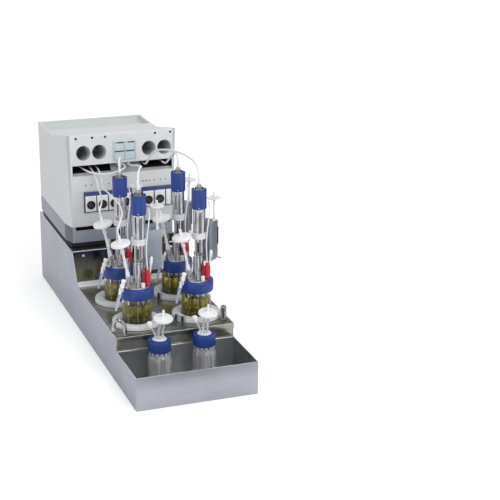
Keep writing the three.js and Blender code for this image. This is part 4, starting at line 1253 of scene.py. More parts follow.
# %% Mat
mat_low, mat_high = box_mm("rubber_mat")
mat = shape("mat", block(*zip(mat_low, mat_high)), black_rubber)
mat_depths = (BEVEL_FOOT, BEVEL_FOOT)
mat = bevelled(mat, "mat", mat_low[1], mat_low[2], mat_high[2], mat_depths, black_rubber, 8.0)
mat_round = bmesh.new()
mat_round.from_mesh(mat)
mat_mesh = shape("mat_round", soften(mat_round, 1.6, 20, 3), black_rubber)
piece("rubber_sheet", mat_mesh, slot="black_rubber", replaces=("rubber_mat",))
print("mat:", round(mat_high[2] - mat_low[2], 1), "mm thick")

# %% Display
PICTURE_INSET = 2.4
GLASS_INSET = 2.0
screen_low, screen_high = box_mm("display")
picture = screen_finish(
    (screen_low[0] + PICTURE_INSET, screen_low[2] + PICTURE_INSET),
    (screen_high[0] - PICTURE_INSET, screen_high[2] - PICTURE_INSET),
)
panel = block(*zip(screen_low, screen_high), 0.7, 3)
piece(
    "display_bezel", shape("bezel", panel, module_paint), slot="light_grey_plastic",
    replaces=("display",),
)
glass_panel = block(
    (screen_low[0] + GLASS_INSET, screen_high[0] - GLASS_INSET),
    (screen_low[1] - 0.02, screen_low[1] + 1.0),
    (screen_low[2] + GLASS_INSET, screen_high[2] - GLASS_INSET), 0.015,
)
piece("display_glass", shape("display_glass", glass_panel, picture), slot="screen")
print("display", [round(v, 1) for v in screen_low + screen_high])

# %% [markdown]
# ## Things that repeat
#
# Ribs on a cap, knurls on a plug, turbine blades and cooling fins all repeat one small shape. Two
# Geometry Nodes trees do every one of them: the first stands copies round a circle, the second in
# a row. Sizes are named inputs, the instances are realised, and each tree sets its finish. The
# result is then frozen into a plain mesh, so the finished piece carries no modifier.

# %% Two trees: round a circle, and in a row
def open_tree(name, sizes):
    """A Geometry Nodes tree with a geometry, a copied object, a finish and named sizes."""
    tree = bpy.data.node_groups.new(name, "GeometryNodeTree")
    sockets = [
        ("Geometry", "NodeSocketGeometry"), ("Copied", "NodeSocketObject"),
        ("Finish", "NodeSocketMaterial"),
    ]
    for label, kind in sockets + sizes:
        tree.interface.new_socket(name=label, in_out="INPUT", socket_type=kind)
    tree.interface.new_socket(name="Geometry", in_out="OUTPUT", socket_type="NodeSocketGeometry")
    nodes = Nodes(tree)
    inlet = nodes.add("NodeGroupInput").socket.node.outputs
    return tree, nodes, {label: Out(nodes, inlet[label]) for label, _ in sockets + sizes}


def close_tree(nodes, given, spots, rotation):
    """Instances on the spots, realised, in their finish, joined to what was there."""
    copied = nodes.add(
        "GeometryNodeObjectInfo", {"transform_space": "ORIGINAL"}, {"Object": given["Copied"]},
    )
    copied = Out(nodes, copied.socket.node.outputs["Geometry"])
    settings = {"Points": spots, "Instance": copied}
    if rotation is not None:
        settings["Rotation"] = rotation
    stood = nodes.add("GeometryNodeInstanceOnPoints", None, settings)
    real = nodes.add("GeometryNodeRealizeInstances", None, {"Geometry": stood})
    dressed = nodes.add("GeometryNodeSetMaterial", None, {"Geometry": real, "Material": given["Finish"]})
    both = nodes.add("GeometryNodeJoinGeometry", None, {"Geometry": dressed})
    nodes.tree.links.new(given["Geometry"].socket, both.socket.node.inputs[0])
    nodes.add("NodeGroupOutput", None, {"Geometry": both})


circle_tree, nodes, given = open_tree(
    "copies_round_a_circle",
    [("Count", "NodeSocketInt"), ("Radius", "NodeSocketFloat"), ("Start", "NodeSocketFloat")],
)
index = nodes.add("GeometryNodeInputIndex")
angle = index * (2 * math.pi) / given["Count"] + given["Start"]
spots = nodes.add("GeometryNodePoints", None, {"Count": given["Count"]})
around = nodes.add("ShaderNodeCombineXYZ", None, {
    "X": angle.maths("COSINE", angle) * given["Radius"], "Y": angle.sine() * given["Radius"],
})
spots = nodes.add("GeometryNodeSetPosition", None, {"Geometry": spots, "Position": around})
facing = nodes.add(
    "FunctionNodeEulerToRotation", None, {0: nodes.add("ShaderNodeCombineXYZ", None, {"Z": angle})},
)
close_tree(nodes, given, spots, facing)

row_tree, nodes, given = open_tree(
    "copies_in_a_row", [("Count", "NodeSocketInt"), ("Step", "NodeSocketVector")],
)
spots = nodes.add(
    "GeometryNodeMeshLine", {"mode": "OFFSET"}, {"Count": given["Count"], "Offset": given["Step"]},
)
close_tree(nodes, given, spots, None)


def repeat(tree, body, copied, material, **sizes):
    """Runs a tree on a body mesh (or on nothing) and freezes the result."""
    carrier = bpy.data.objects.new("carrier", body or bpy.data.meshes.new("nothing"))
    copy = bpy.data.objects.new("copied", copied)
    scene.collection.objects.link(carrier)
    modifier = carrier.modifiers.new("repeat", "NODES")
    modifier.node_group = tree
    given = {"Copied": copy, "Finish": material, **sizes}
    for item in tree.interface.items_tree:
        if item.in_out == "INPUT" and item.name in given:
            modifier[item.identifier] = given[item.name]
    evaluated = carrier.evaluated_get(bpy.context.evaluated_depsgraph_get())
    frozen = bpy.data.meshes.new_from_object(evaluated)
    bpy.data.objects.remove(carrier)
    bpy.data.objects.remove(copy)
    return frozen


print("trees:", circle_tree.name, "and", row_tree.name)

# %% [markdown]
# ## Four vessels
#
# Everything on the vessels is turned about an upright axis. The glass is a thin wall with a round
# bottom edge and a flange. The culture is a separate body that reaches a fifth of a millimetre into
# the wall, so no film of air lies between glass and liquid to mirror the light, and its edge climbs
# the glass as a real liquid does. The levels come from the CAD glass and ring, and everything above
# is set from the top face of the lid.

# %% Levels, from the deck up
ring_low, ring_high = box_mm("screw_ring_1")
RIM = round(box_mm("vessel_glass_1")[1][2] - DECK, 2)
RING_FOOT = round(ring_low[2] - DECK, 2)
RING_TOP = round(ring_high[2] - DECK, 2)
LID = RING_TOP + 2.0
TUBE_TOP = round(box_mm("drive_housing_1")[1][2] - DECK, 2)
DRIVE_OFFSET = 8  # the stirrer stands this far to the side of the vessel's axis
print("glass rim", RIM, "ring", RING_FOOT, "to", RING_TOP, "lid", LID, "motor tube top", TUBE_TOP)

# %% Glass and culture
def round_edge(middle, up, radius, angles):
    """Profile points round a bottom edge whose centre is at the radius middle and the height up."""
    return [(middle + radius * math.cos(a), up + radius * math.sin(a)) for a in angles]


glass_profile = [(0, -30), (27.5, -30)]
glass_profile += round_edge(28.5, -23, 7, [math.pi / 2 * (i / 8 - 1) for i in range(1, 9)])
glass_profile += [
    (35.5, RIM - 8), (35.8, RIM - 6), (37.0, RIM - 4.8), (37.0, RIM - 0.8), (36.4, RIM), (33.4, RIM),
    (33.0, RIM - 0.6),
]
glass_profile += round_edge(28.5, -22, 4.5, [-math.pi / 2 * i / 8 for i in range(9)])
glass_profile += [(0, -26.5)]
glass_mesh = shape("vessel_glass", turn(glass_profile, 96), vessel_clear)
LEVEL = 52.0
culture_profile = [(0, -26.7), (28.3, -26.7)]
culture_profile += round_edge(28.3, -21.8, 4.9, [math.pi / 2 * (i / 6 - 1) for i in range(1, 7)])
culture_profile += [
    (33.2, LEVEL + 1.8), (32.5, LEVEL + 0.7), (31.0, LEVEL + 0.15), (29.0, LEVEL), (0, LEVEL),
]
culture_mesh = shape("culture", turn(culture_profile, 96), culture)
print("glass:", len(glass_mesh.polygons), "faces, culture:", len(culture_mesh.polygons))

# %% [markdown]
# The screw ring is a broad band with shallow upright ribs and a rounded rim that reaches over the
# lid. The ribs are one small bar, repeated round it.

# %% Screw ring
ring_profile = [
    (37.9, RING_FOOT + 0.4), (38.4, RING_FOOT), (40.2, RING_FOOT), (41.0, RING_FOOT + 0.8),
    (41.0, RING_FOOT + 2.6), (41.2, RING_FOOT + 3.0), (41.2, RING_TOP - 3.0),
    (40.9, RING_TOP - 1.6), (40.0, RING_TOP - 0.5), (38.6, RING_TOP), (34.3, RING_TOP),
    (33.7, RING_TOP - 0.5), (33.7, RING_TOP - 2.3), (37.9, RING_TOP - 2.3),
]
rib = block((-0.2, 0.25), (-1.3, 1.3), (RING_FOOT + 3.4, RING_TOP - 3.6), 0.22, 2)
ring_mesh = repeat(
    circle_tree, shape("ring_band", turn(ring_profile, 96, closed=True), blue_plastic),
    shape("ring_rib", rib, blue_plastic), blue_plastic, Count=36, Radius=41.15, Start=0.05,
)
print("ring:", len(ring_mesh.polygons), "faces")

# %% [markdown]
# The motor stands on a nut and a slim pillar with a groove. A loose nut rides on the pillar under a
# clear sleeve, the polished motor tube stands in the sleeve, and the blue cap with its notched rim
# covers the tube's top. The cap's teeth are curved blocks and the connector on top is knurled: two
# more uses of the circle tree.

# %% Motor column
def raised(profile, level):
    """The profile with its heights counted from the level."""
    return [(radius, level + height) for radius, height in profile]


column_profile = raised([
    (5.2, 0.4), (12.4, 0.4), (13.0, 1.0), (13.0, 5.4), (12.2, 6.2), (10.8, 6.3), (10.5, 6.8),
    (10.5, 17), (9.8, 17.6), (9.8, 20.6), (10.5, 21.2), (10.5, 51.6), (9.3, 52), (9.3, 56),
    (10.5, 56.4), (10.5, 90), (11.4, 91), (11.4, 98.0), (5.2, 98.2),
], LID)
column_mesh = shape("column", turn(column_profile, 72, closed=True), tube_steel)
slot_mesh = shape(
    "column_slot", block((-2.1, 2.1), (-0.5, 0.5), (LID + 65, LID + 93), 0.45, 3), black_plastic,
)
rod_profile = raised([(0, 7), (1.8, 7), (1.8, 97), (0, 97)], LID)
rod_mesh = shape("guide_rod", turn(rod_profile, 20), edge_steel)
nut_profile = raised([
    (10.6, 57.5), (12.6, 57.5), (13.0, 58), (13.0, 60.6), (12.4, 61), (12.4, 61.8),
    (13.0, 62.2), (13.0, 64.6), (12.6, 65), (10.6, 65),
], LID)
ring_nut_mesh = shape("ring_nut", turn(nut_profile, 72, closed=True), dark_steel)
SLEEVE = LID + 98.5
sleeve_profile = raised([
    (11.8, 0.2), (15.7, 0.2), (16.4, 1.0), (16.4, 5.4), (15.8, 6.0),
    (15.8, 7.4), (16.4, 8.0), (16.4, 15.0), (15.6, 15.8), (11.8, 15.8),
], SLEEVE)
sleeve_mesh = shape("sleeve", turn(sleeve_profile, 72, closed=True), frosted_sleeve)
tube_profile = raised([(0, 0.4), (11.4, 0.4), (11.4, 16.2), (14.6, 16.2), (15.0, 16.8)], SLEEVE)
tube_profile += [(15.0, TUBE_TOP - 1.3), (14.4, TUBE_TOP), (0, TUBE_TOP)]
tube_mesh = shape("motor_tube", turn(tube_profile, 96), tube_steel)
print("column:", len(column_mesh.polygons), "faces, motor tube:", len(tube_mesh.polygons))

# %% Cap, connector and boot
CAP_FOOT = TUBE_TOP + 0.3
CAP_FLOOR = CAP_FOOT + 44.0
CAP_TOP = CAP_FOOT + 48.0


def arc_block(inner, outer, low, high, spread, steps=5):
    """A curved tooth between two radii, standing at radius zero for the circle tree."""
    bm = bmesh.new()
    rings = []
    for z in (low, high):
        angles = [spread * (i / steps - 0.5) for i in range(steps + 1)]
        outside = [(outer * math.cos(a), outer * math.sin(a)) for a in angles]
        inside = [(inner * math.cos(a), inner * math.sin(a)) for a in angles[::-1]]
        rings.append([bm.verts.new((x, y, z)) for x, y in outside + inside])
    bm.faces.new(rings[0])
    bm.faces.new(rings[1])
    for i in range(len(rings[0])):
        j = (i + 1) % len(rings[0])
        bm.faces.new((rings[0][i], rings[0][j], rings[1][j], rings[1][i]))
    bmesh.ops.recalc_face_normals(bm, faces=bm.faces)
    return soften(bm, 0.5, 50, 2)


cap_profile = [
    (0, CAP_FOOT), (16.8, CAP_FOOT), (17.7, CAP_FOOT + 0.8), (18.0, CAP_FOOT + 2),
    (18.0, CAP_FLOOR - 1.0), (17.8, CAP_FLOOR - 0.3), (17.2, CAP_FLOOR), (0, CAP_FLOOR),
]
tooth = shape("cap_tooth", arc_block(15.4, 18.0, CAP_FLOOR - 2, CAP_TOP, math.radians(33)), blue_plastic)
cap_mesh = repeat(
    circle_tree, shape("cap_body", turn(cap_profile, 96), blue_plastic), tooth, blue_plastic,
    Count=8, Radius=0.0, Start=0.0,
)
plug_profile = raised([
    (0, 0.1), (8.4, 0.1), (8.4, 2.2), (5.8, 2.8), (5.8, 5.0), (6.2, 5.6), (6.2, 12.4), (5.4, 13.4),
    (4.6, 13.8), (4.6, 15.9), (0, 15.9),
], CAP_FLOOR)
knurl = block((-0.15, 0.32), (-0.28, 0.28), (CAP_FLOOR + 6, CAP_FLOOR + 12), 0.12, 1)
plug_mesh = repeat(
    circle_tree, shape("plug", turn(plug_profile, 48), knurled_metal),
    shape("knurl", knurl, knurled_metal), knurled_metal, Count=32, Radius=6.15, Start=0.0,
)
BOOT = CAP_FLOOR + 16.0
boot_profile = raised([
    (0, 0), (3.9, 0), (3.9, 1.6), (3.4, 2.2), (3.4, 4), (2.9, 7), (2.75, 11.6), (0, 12),
], BOOT)
boot_mesh = shape("boot", turn(boot_profile, 32), cable_white)
set_screw = turn([(0, -0.3), (1.3, -0.3), (1.3, 0.2), (0.9, 0.42), (0, 0.42)], 16)
set_screw_at = Matrix.Translation((-5.4, -17.0, CAP_FOOT + 4.6))
set_screw_faces = Matrix.Rotation(math.radians(-17.5), 4, "Z")
set_screw.transform(set_screw_at @ set_screw_faces @ FORWARDS)
set_screw_mesh = shape("set_screw", set_screw, edge_steel)
print("cap:", len(cap_mesh.polygons), "faces, plug:", len(plug_mesh.polygons))

# %% [markdown]
# Below the lid hangs the stirrer: a shaft with a disc turbine, six flat blades on the rim of a
# disc. It is the moving part here, so it rides on its own body and turns inside the culture.

# %% Stirrer
TURBINE = -6.0
shaft = turn([(0, -18), (3.2, -18), (4.0, -17.2), (4.0, LID + 34), (0, LID + 34)], 40)
hub = turn([(3.9, -4.5), (6.6, -4.5), (7.0, -4.1), (7.0, 4.1), (6.6, 4.5), (3.9, 4.5)], 40, closed=True)
disc = turn([(6.9, -0.7), (11.0, -0.7), (11.0, 0.7), (6.9, 0.7)], 48, closed=True)
to_turbine = Matrix.Translation((0, 0, TURBINE))
blade = shape("blade", block((8, 15), (-0.7, 0.7), (TURBINE - 4, TURBINE + 4), 0.2, 1), dark_steel)
stirrer_mesh = repeat(
    circle_tree, shape("shaft", merged(shaft, (hub, to_turbine), (disc, to_turbine)), dark_steel),
    blade, dark_steel, Count=6, Radius=0.0, Start=0.0,
)
print("stirrer:", len(stirrer_mesh.polygons), "faces")

# %% Set the vessels' turned pieces down
for number, (x, y) in enumerate(vessels, 1):
    spot = (x, y, DECK)
    axis = (x + DRIVE_OFFSET, y, DECK)
    slot_at = (x + DRIVE_OFFSET - 5.6, y - 9.2, DECK)
    rod_at = (x + DRIVE_OFFSET - 11.4, y - 5.4, DECK)
    ring_body = f"screw_ring_{number}"
    stirrer_body = f"stirrer_{number}"
    piece(
        f"glass_{number}", glass_mesh, at=spot, slot="clear_glass",
        replaces=(f"vessel_glass_{number}",),
    )
    piece(f"culture_{number}", culture_mesh, at=spot, slot="culture_liquid")
    piece(f"ring_{number}", ring_mesh, ring_body, spot, slot="blue_plastic", replaces=(ring_body,))
    piece(
        f"column_{number}", column_mesh, at=axis, slot="polished_steel",
        replaces=(f"drive_housing_{number}",),
    )
    piece(f"column_slot_{number}", slot_mesh, at=slot_at, turned=math.radians(-31), slot="black_plastic")
    piece(f"guide_rod_{number}", rod_mesh, at=rod_at, slot="polished_steel")
    piece(f"ring_nut_{number}", ring_nut_mesh, at=axis, slot="polished_steel")
    piece(f"sleeve_{number}", sleeve_mesh, at=axis, slot="clear_plastic")
    piece(f"motor_tube_{number}", tube_mesh, at=axis, slot="polished_steel")
    piece(
        f"motor_cap_{number}", cap_mesh, at=axis, slot="blue_plastic",
        replaces=(f"drive_cap_{number}",),
    )
    piece(f"set_screw_{number}", set_screw_mesh, at=axis, slot="polished_steel")
    piece(f"plug_{number}", plug_mesh, at=axis, slot="polished_steel")
    piece(f"boot_{number}", boot_mesh, at=axis, slot="white_cable")
    piece(
        f"turbine_{number}", stirrer_mesh, stirrer_body, axis, slot="polished_steel",
        replaces=(stirrer_body,),
    )

# %% [markdown]
# ## The lid and what stands on it
#
# The lid is a steel plate crowded with fittings. Each one is a short lathe profile with hexagons,
# collars and barbs, because bare rods read as toys. Finishes differ: steel for the ports, red for
# the sensor heads, white for the luer caps and valve, and clear for the hose ends. Heights are
# from the lid's top face, so every part is made round zero and lifted by one move.

# %% Lid
LIFT = Matrix.Translation((0, 0, LID))
INLET_PORT = (-24.5, -18)  # from the vessel's axis
CONDENSER_PORT = (22, 16)
SENSOR_PORT = (24, -13)
LUER_PORT = (9, -24)
LEVEL_PORT = (-14, 23)
GAS_PORT = (4, 26)
SAMPLE_PORT = (-4, -25)
lid_profile = [
    (4.9, -9.7), (36.4, -9.7), (36.7, -9.2), (36.7, -5.6), (36.3, -5.0), (33.2, -5.0), (32.8, -4.4),
    (32.8, -0.9), (32.0, 0), (29.6, 0), (29.0, -0.6), (15.0, -0.6), (14.4, 0), (4.9, 0),
]
lid_mesh = shape("lid", turn(lid_profile, 96, closed=True), lid_steel)
lid_mesh.transform(LIFT)


def hexagon(radius, low, high):
    """A hexagon nut with bevelled ends."""
    profile = [(0, low), (radius * 0.9, low), (radius, low + 0.5), (radius, high - 0.5)]
    profile += [(radius * 0.9, high), (0, high)]
    return turn(profile, 6)


def fitting(*stack, sides=28):
    """A port built upwards from (radius, height) steps, each with a small chamfer."""
    profile = [(0, 0)]
    z = 0
    for radius, tall in stack:
        chamfer = min(0.4, tall / 3)
        profile += [(radius - chamfer, z), (radius, z + chamfer)]
        profile += [(radius, z + tall - chamfer), (radius - chamfer, z + tall)]
        z += tall
    profile.append((0, z))
    return turn(profile, sides)


def at(x, y, z=0.0):
    """A move, in millimetres."""
    return Matrix.Translation((x, y, z))


def port(x, y, nut_radius, nut_height, *stack):
    """A hexagon on the lid with a turned stack on top of it."""
    return merged((hexagon(nut_radius, 0, nut_height), at(x, y)), (fitting(*stack), at(x, y, nut_height)))


steel_ports = merged(
    port(*INLET_PORT, 6.2, 6, (4.2, 6), (3.2, 2), (4.0, 3), (3.2, 2), (4.0, 3), (3.4, 5.4)),
    port(*CONDENSER_PORT, 6.0, 5, (4.0, 12), (4.6, 3), (3.6, 12.0)),
    port(*SAMPLE_PORT, 5.6, 5, (4.8, 5), (3.0, 2), (3.6, 3), (2.6, 4)),
    port(*LEVEL_PORT, 7.0, 8, (5.6, 18), (6.0, 5), (5.0, 12), (5.6, 4), (4.2, 12)),
    port(*GAS_PORT, 5.0, 6, (3.6, 20), (4.2, 4), (3.0, 15)),
    port(-28, -5, 5.4, 4, (3.8, 4), (4.2, 2.5)),
    port(-16, -6, 4.2, 4, (2.6, 5), (3.2, 3), (2.2, 4)),
    (fitting((5.4, 94)), at(*LEVEL_PORT, -103.6)),
    (fitting((3.0, 99)), at(*GAS_PORT, -108.6)),
    (fitting((3.2, 86)), at(*SENSOR_PORT, -95.6)),
    (fitting((2.0, 108)), at(*INLET_PORT, -117.6)),
    (fitting((1.6, 103)), at(*SAMPLE_PORT, -112.6)),
    (fitting((1.8, 101)), at(*LUER_PORT, -110.6)),
    sweep([(-28, -5, 8), (-31, -11, 13), (-35, -19.5, 18.5), (-37, -23.5, 22)], 2.8, 16, 5),
)
ports_mesh = shape("lid_ports", steel_ports, fitting_steel)
ports_mesh.transform(LIFT)
print("lid:", len(lid_mesh.polygons), "faces, ports and dip rods:", len(ports_mesh.polygons))

# %% [markdown]
# One port near the front is pale: a luer lock with finger wings round a turned body. Wings are one
# small block and the circle tree. The red sensor head has a grip of fine ribs, a tapered neck and a
# cable that climbs to the motor's cap.

# %% Luer lock and sensor head
luer_body = turn(
    [
        (0, 0), (4.6, 0), (5.0, 0.6), (5.0, 2.6), (3.9, 3.4), (3.9, 6.4), (4.9, 7.2), (4.9, 9.8),
        (4.2, 10.6), (2.6, 11), (0, 11),
    ],
    40,
)
wing = shape("luer_wing", block((3.4, 5.0), (-0.6, 0.6), (1.0, 9.6), 0.3, 2), white_plastic)
luer_mesh = repeat(
    circle_tree, shape("luer_body", luer_body, white_plastic), wing, white_plastic,
    Count=8, Radius=0.0, Start=0.2,
)
luer_mesh.transform(LIFT @ at(*LUER_PORT))
sensor_profile = [
    (0, 0.5), (6.4, 0.5), (7.0, 1.4), (7.0, 9.2), (6.4, 10.2), (6.4, 11.4), (7.2, 12.4),
    (7.2, 29.5), (6.6, 31.4), (5.2, 32.2), (5.0, 37.4), (3.9, 39.5), (0, 40),
]
grip = block((-0.15, 0.25), (-0.55, 0.55), (13, 29.5), 0.22, 1)
sensor_mesh = repeat(
    circle_tree, shape("sensor_head", turn(sensor_profile, 48), red_plastic),
    shape("sensor_grip", grip, red_plastic), red_plastic, Count=16, Radius=7.15, Start=0.1,
)
sensor_mesh.transform(LIFT @ at(*SENSOR_PORT))
slim_sensor = turn(
    [
        (0, 0.4), (3.6, 0.4), (4.0, 1.0), (4.0, 6.0), (3.4, 7.0), (3.4, 26), (2.7, 27.4),
        (2.6, 35.6), (1.8, 37.6), (0, 38),
    ],
    32,
)
slim_mesh = shape("slim_sensor", slim_sensor, dark_red)
slim_mesh.transform(LIFT @ at(12.5, -16.5))
lead_route = [
    (*SENSOR_PORT, 38), (22, -14, 60), (21, -15, 90), (23.5, -14, 118), (28, -11.5, 146), (31.5, -8, 173),
    (29, -6, 190),
]
sensor_lead = sweep(lead_route, 1.5, 14, 8)
sensor_lead_mesh = shape("sensor_lead", sensor_lead, cable_white)
sensor_lead_mesh.transform(LIFT)
print("luer lock:", len(luer_mesh.polygons), "faces, sensor head:", len(sensor_mesh.polygons))

# %% [markdown]
# The sampling valve hangs off the left of the lid: a white body with two finger rings and three
# small dark ports, and a pale blue tip below. On the right stands a capped white tube. These lean,
# so one helper stands a lathe profile between two points, with its heights given as shares of the
# distance.

# %% Sampling valve, capped tube and hose ends
def between(start, end, profile, sides=32):
    """A lathe profile of (radius, share of the length) stood between two points."""
    start = Vector(start)
    axis = Vector(end) - start
    bm = turn([(r, share * axis.length) for r, share in profile], sides)
    bm.transform(Matrix.Translation(start) @ axis.to_track_quat("Z", "Y").to_matrix().to_4x4())
    return bm


valve = merged(
    between(
        (-36, -22.5, 24.5), (-50, -31, -9.5),
        [
            (0, 0), (4.4, 0), (5.2, 0.04), (5.2, 0.20), (3.6, 0.24), (3.6, 0.30), (5.6, 0.34),
            (6.1, 0.40), (5.6, 0.46), (4.2, 0.50), (4.2, 0.58), (5.4, 0.62), (6.0, 0.68),
            (5.4, 0.76), (3.8, 0.82), (3.8, 1.0), (0, 1.0),
        ],
    ),
    between(
        (-35, -21, 16), (-47, -37, 8),
        [(0, 0), (2.6, 0), (2.6, 0.62), (4.0, 0.68), (4.0, 0.95), (3.4, 1), (0, 1)],
    ),
)
valve_mesh = shape("valve", valve, white_plastic)
valve_mesh.transform(LIFT)
tip = between(
    (-49.6, -30.8, -8), (-61, -33, -46.5),
    [
        (0, 0), (4.4, 0), (4.4, 0.10), (3.6, 0.14), (3.6, 0.30), (4.2, 0.33), (3.4, 0.38),
        (3.4, 0.56), (4.0, 0.60), (3.2, 0.66), (2.8, 0.92), (2.2, 1.0), (0, 1.0),
    ],
)
tip_mesh = shape("valve_tip", tip, lilac_tip)
tip_mesh.transform(LIFT)
dots = merged(*[
    between(spot, Vector(spot) + Vector((-0.3, -0.9, 0.2)), [(0, 0), (1.1, 0), (1.1, 1), (0, 1)], 16)
    for spot in ((-41.0, -30.6, 13.5), (-45.5, -34.3, 1.5), (-47.2, -35.0, -4.5))
])
dots_mesh = shape("valve_ports", dots, black_plastic)
dots_mesh.transform(LIFT)
capped = merged(
    sweep([(28.5, -5, 0.3), (30.2, -5.6, 16), (32.2, -6.4, 36), (34, -7, 52)], 2.3, 16, 5),
    between(
        (28.3, -4.9, 0.2), (29.3, -5.3, 10),
        [(0, 0), (4.4, 0), (4.4, 0.5), (3.4, 0.6), (3.4, 1), (0, 1)],
    ),
    between(
        (34, -7, 50), (35.5, -7.2, 68),
        [(0, 0), (3.3, 0), (4.0, 0.1), (4.0, 0.78), (3.4, 0.92), (2.0, 1), (0, 1)],
    ),
)
capped_mesh = shape("capped_tube", capped, white_plastic)
capped_mesh.transform(LIFT)
hose_ends = merged(
    between(
        (-4, -25, 17), (-5.2, -26.5, 33),
        [(0, 0), (3.0, 0), (3.0, 0.4), (2.2, 0.45), (2.2, 1), (0, 1)],
    ),
    between(
        (-16, -6, 12), (-14.5, -8, 26),
        [(0, 0), (3.0, 0), (3.0, 0.4), (2.4, 0.45), (2.4, 1), (0, 1)],
    ),
)
hose_ends_mesh = shape("hose_ends", hose_ends, clear_plastic)
hose_ends_mesh.transform(LIFT)
print("valve:", len(valve_mesh.polygons), "faces, capped tube:", len(capped_mesh.polygons))

# %% [markdown]
# The inlet filter is a flat capsule on a long luer stem, leaning outwards, with a nub on top and
# fine webs across its face. It is made upright and then leaned as the CAD filter is.

# %% Inlet filter
disc_profile = [
    (0, 77), (4.8, 77), (5.4, 79.0), (12, 79.4), (20.0, 80.2), (22.2, 81.2), (23.0, 82.8),
    (23.0, 86.6), (22.3, 88.2), (20.2, 89.2), (13, 90.0), (6.4, 90.8), (4.6, 92.0), (4.2, 96),
    (3.4, 97), (3.2, 105), (2.6, 106), (0, 106),
]
web = block((5.0, 19.0), (-0.45, 0.45), (88.4, 90.4), 0.4, 2)
filter_mesh = repeat(
    circle_tree, shape("filter_disc", turn(disc_profile, 72), white_plastic),
    shape("filter_web", web, white_plastic), white_plastic, Count=12, Radius=0.0, Start=0.0,
)
stem_profile = [
    (0, 1.2), (4.6, 1.2), (4.8, 2), (4.8, 12.0), (4.0, 13.4), (3.2, 15), (3.2, 26), (3.8, 27),
    (3.8, 30), (3.1, 31), (3.1, 58), (3.9, 60), (4.8, 62), (4.8, 66), (4.2, 67), (4.8, 68),
    (4.8, 76.8), (0, 76.8),
]
stem_mesh = shape("filter_stem", turn(stem_profile, 40), frosted_sleeve)
INLET_RISE = 27.6  # the inlet port's height above the lid
lean = LIFT @ at(*INLET_PORT, INLET_RISE) @ Matrix.Rotation(math.radians(-11.5), 4, "Y")
filter_mesh.transform(lean)
stem_mesh.transform(lean)
print("inlet filter:", len(filter_mesh.polygons), "faces")

# %% [markdown]
# The condenser is a small finned cooler. Its front face has five faint upright ribs, its fins run
# upright behind and show as a comb on the top, and a pale plate with a black handle bar closes the
# far end. One fin is a thin rounded plate, and the row tree repeats it. The exhaust filter stands
# on top.

# %% Condenser
COOL_FOOT = LID + 32.5
COOL_TOP = COOL_FOOT + 97.0
core = merged(
    block((7.0, 37.8), (-16.9, -9.0), (COOL_FOOT, COOL_TOP - 1.5), 0.9, 3),
    block((7.4, 37.6), (-16.2, -9.4), (COOL_TOP - 1.8, COOL_TOP - 0.1), 0.5, 2),
)
fin = shape("cooler_fin", block((7.0, 9.0), (-9.4, 16.8), (COOL_FOOT, COOL_TOP), 0.5, 2), cooler_metal)
cooler_mesh = repeat(
    row_tree, shape("cooler_core", core, cooler_metal), fin, cooler_metal, Count=8, Step=(3.875, 0, 0),
)
flute_bar = block((9.6, 11.0), (-17.1, -16.5), (COOL_FOOT + 3, COOL_TOP - 4), 0.25, 2)
flute = shape("cooler_flute", flute_bar, cooler_metal)
flute_mesh = repeat(row_tree, None, flute, cooler_metal, Count=5, Step=(5.6, 0, 0))
end_plate = merged(
    block((38.0, 46.0), (-15.6, 16.8), (COOL_FOOT, COOL_TOP - 0.4), 1.2, 3),
    block((-6.4, 38.5), (-6.4, 6.4), (COOL_FOOT, COOL_FOOT + 6.3), 1.0, 2),
)
end_plate_mesh = shape("cooler_plate", end_plate, cooler_plate)
handle_bar = block((42.4, 46.8), (-17.0, -14.6), (COOL_FOOT + 35, COOL_FOOT + 79), 0.7, 2)
handle_mesh = shape("cooler_handle", handle_bar, black_plastic)
STEM = (31.6, -13.0)
exhaust_top = box_mm("condenser_1")[1][2] - DECK
DISC_FOOT = exhaust_top - 18
exhaust_disc = [
    (0, 0), (8, 0), (13.4, 0.9), (16.4, 1.9), (17.0, 2.7), (17.0, 4.2), (16.2, 5.0), (5, 6.0),
    (0, 6.0),
]
exhaust = merged(
    (fitting((3.4, 8), (2.6, DISC_FOOT - COOL_TOP - 14), (3.4, 6)), at(*STEM, COOL_TOP)),
    (turn(exhaust_disc, 56), at(*STEM, DISC_FOOT)),
    (fitting((2.9, 4), (2.2, 8)), at(*STEM, exhaust_top - 12)),
)
exhaust_mesh = shape("exhaust_filter", exhaust, frosted_white)
nipple = between((38, -13, COOL_FOOT + 6), (38, -30, COOL_FOOT + 4), [
    (0, 0), (2.4, 0), (2.4, 0.3), (1.8, 0.34), (1.8, 0.9), (1.4, 1), (0, 1),
])
nipple_mesh = shape("coolant_nipple", nipple, edge_steel)
print("cooler:", len(cooler_mesh.polygons), "faces, exhaust top", round(exhaust_top, 1))

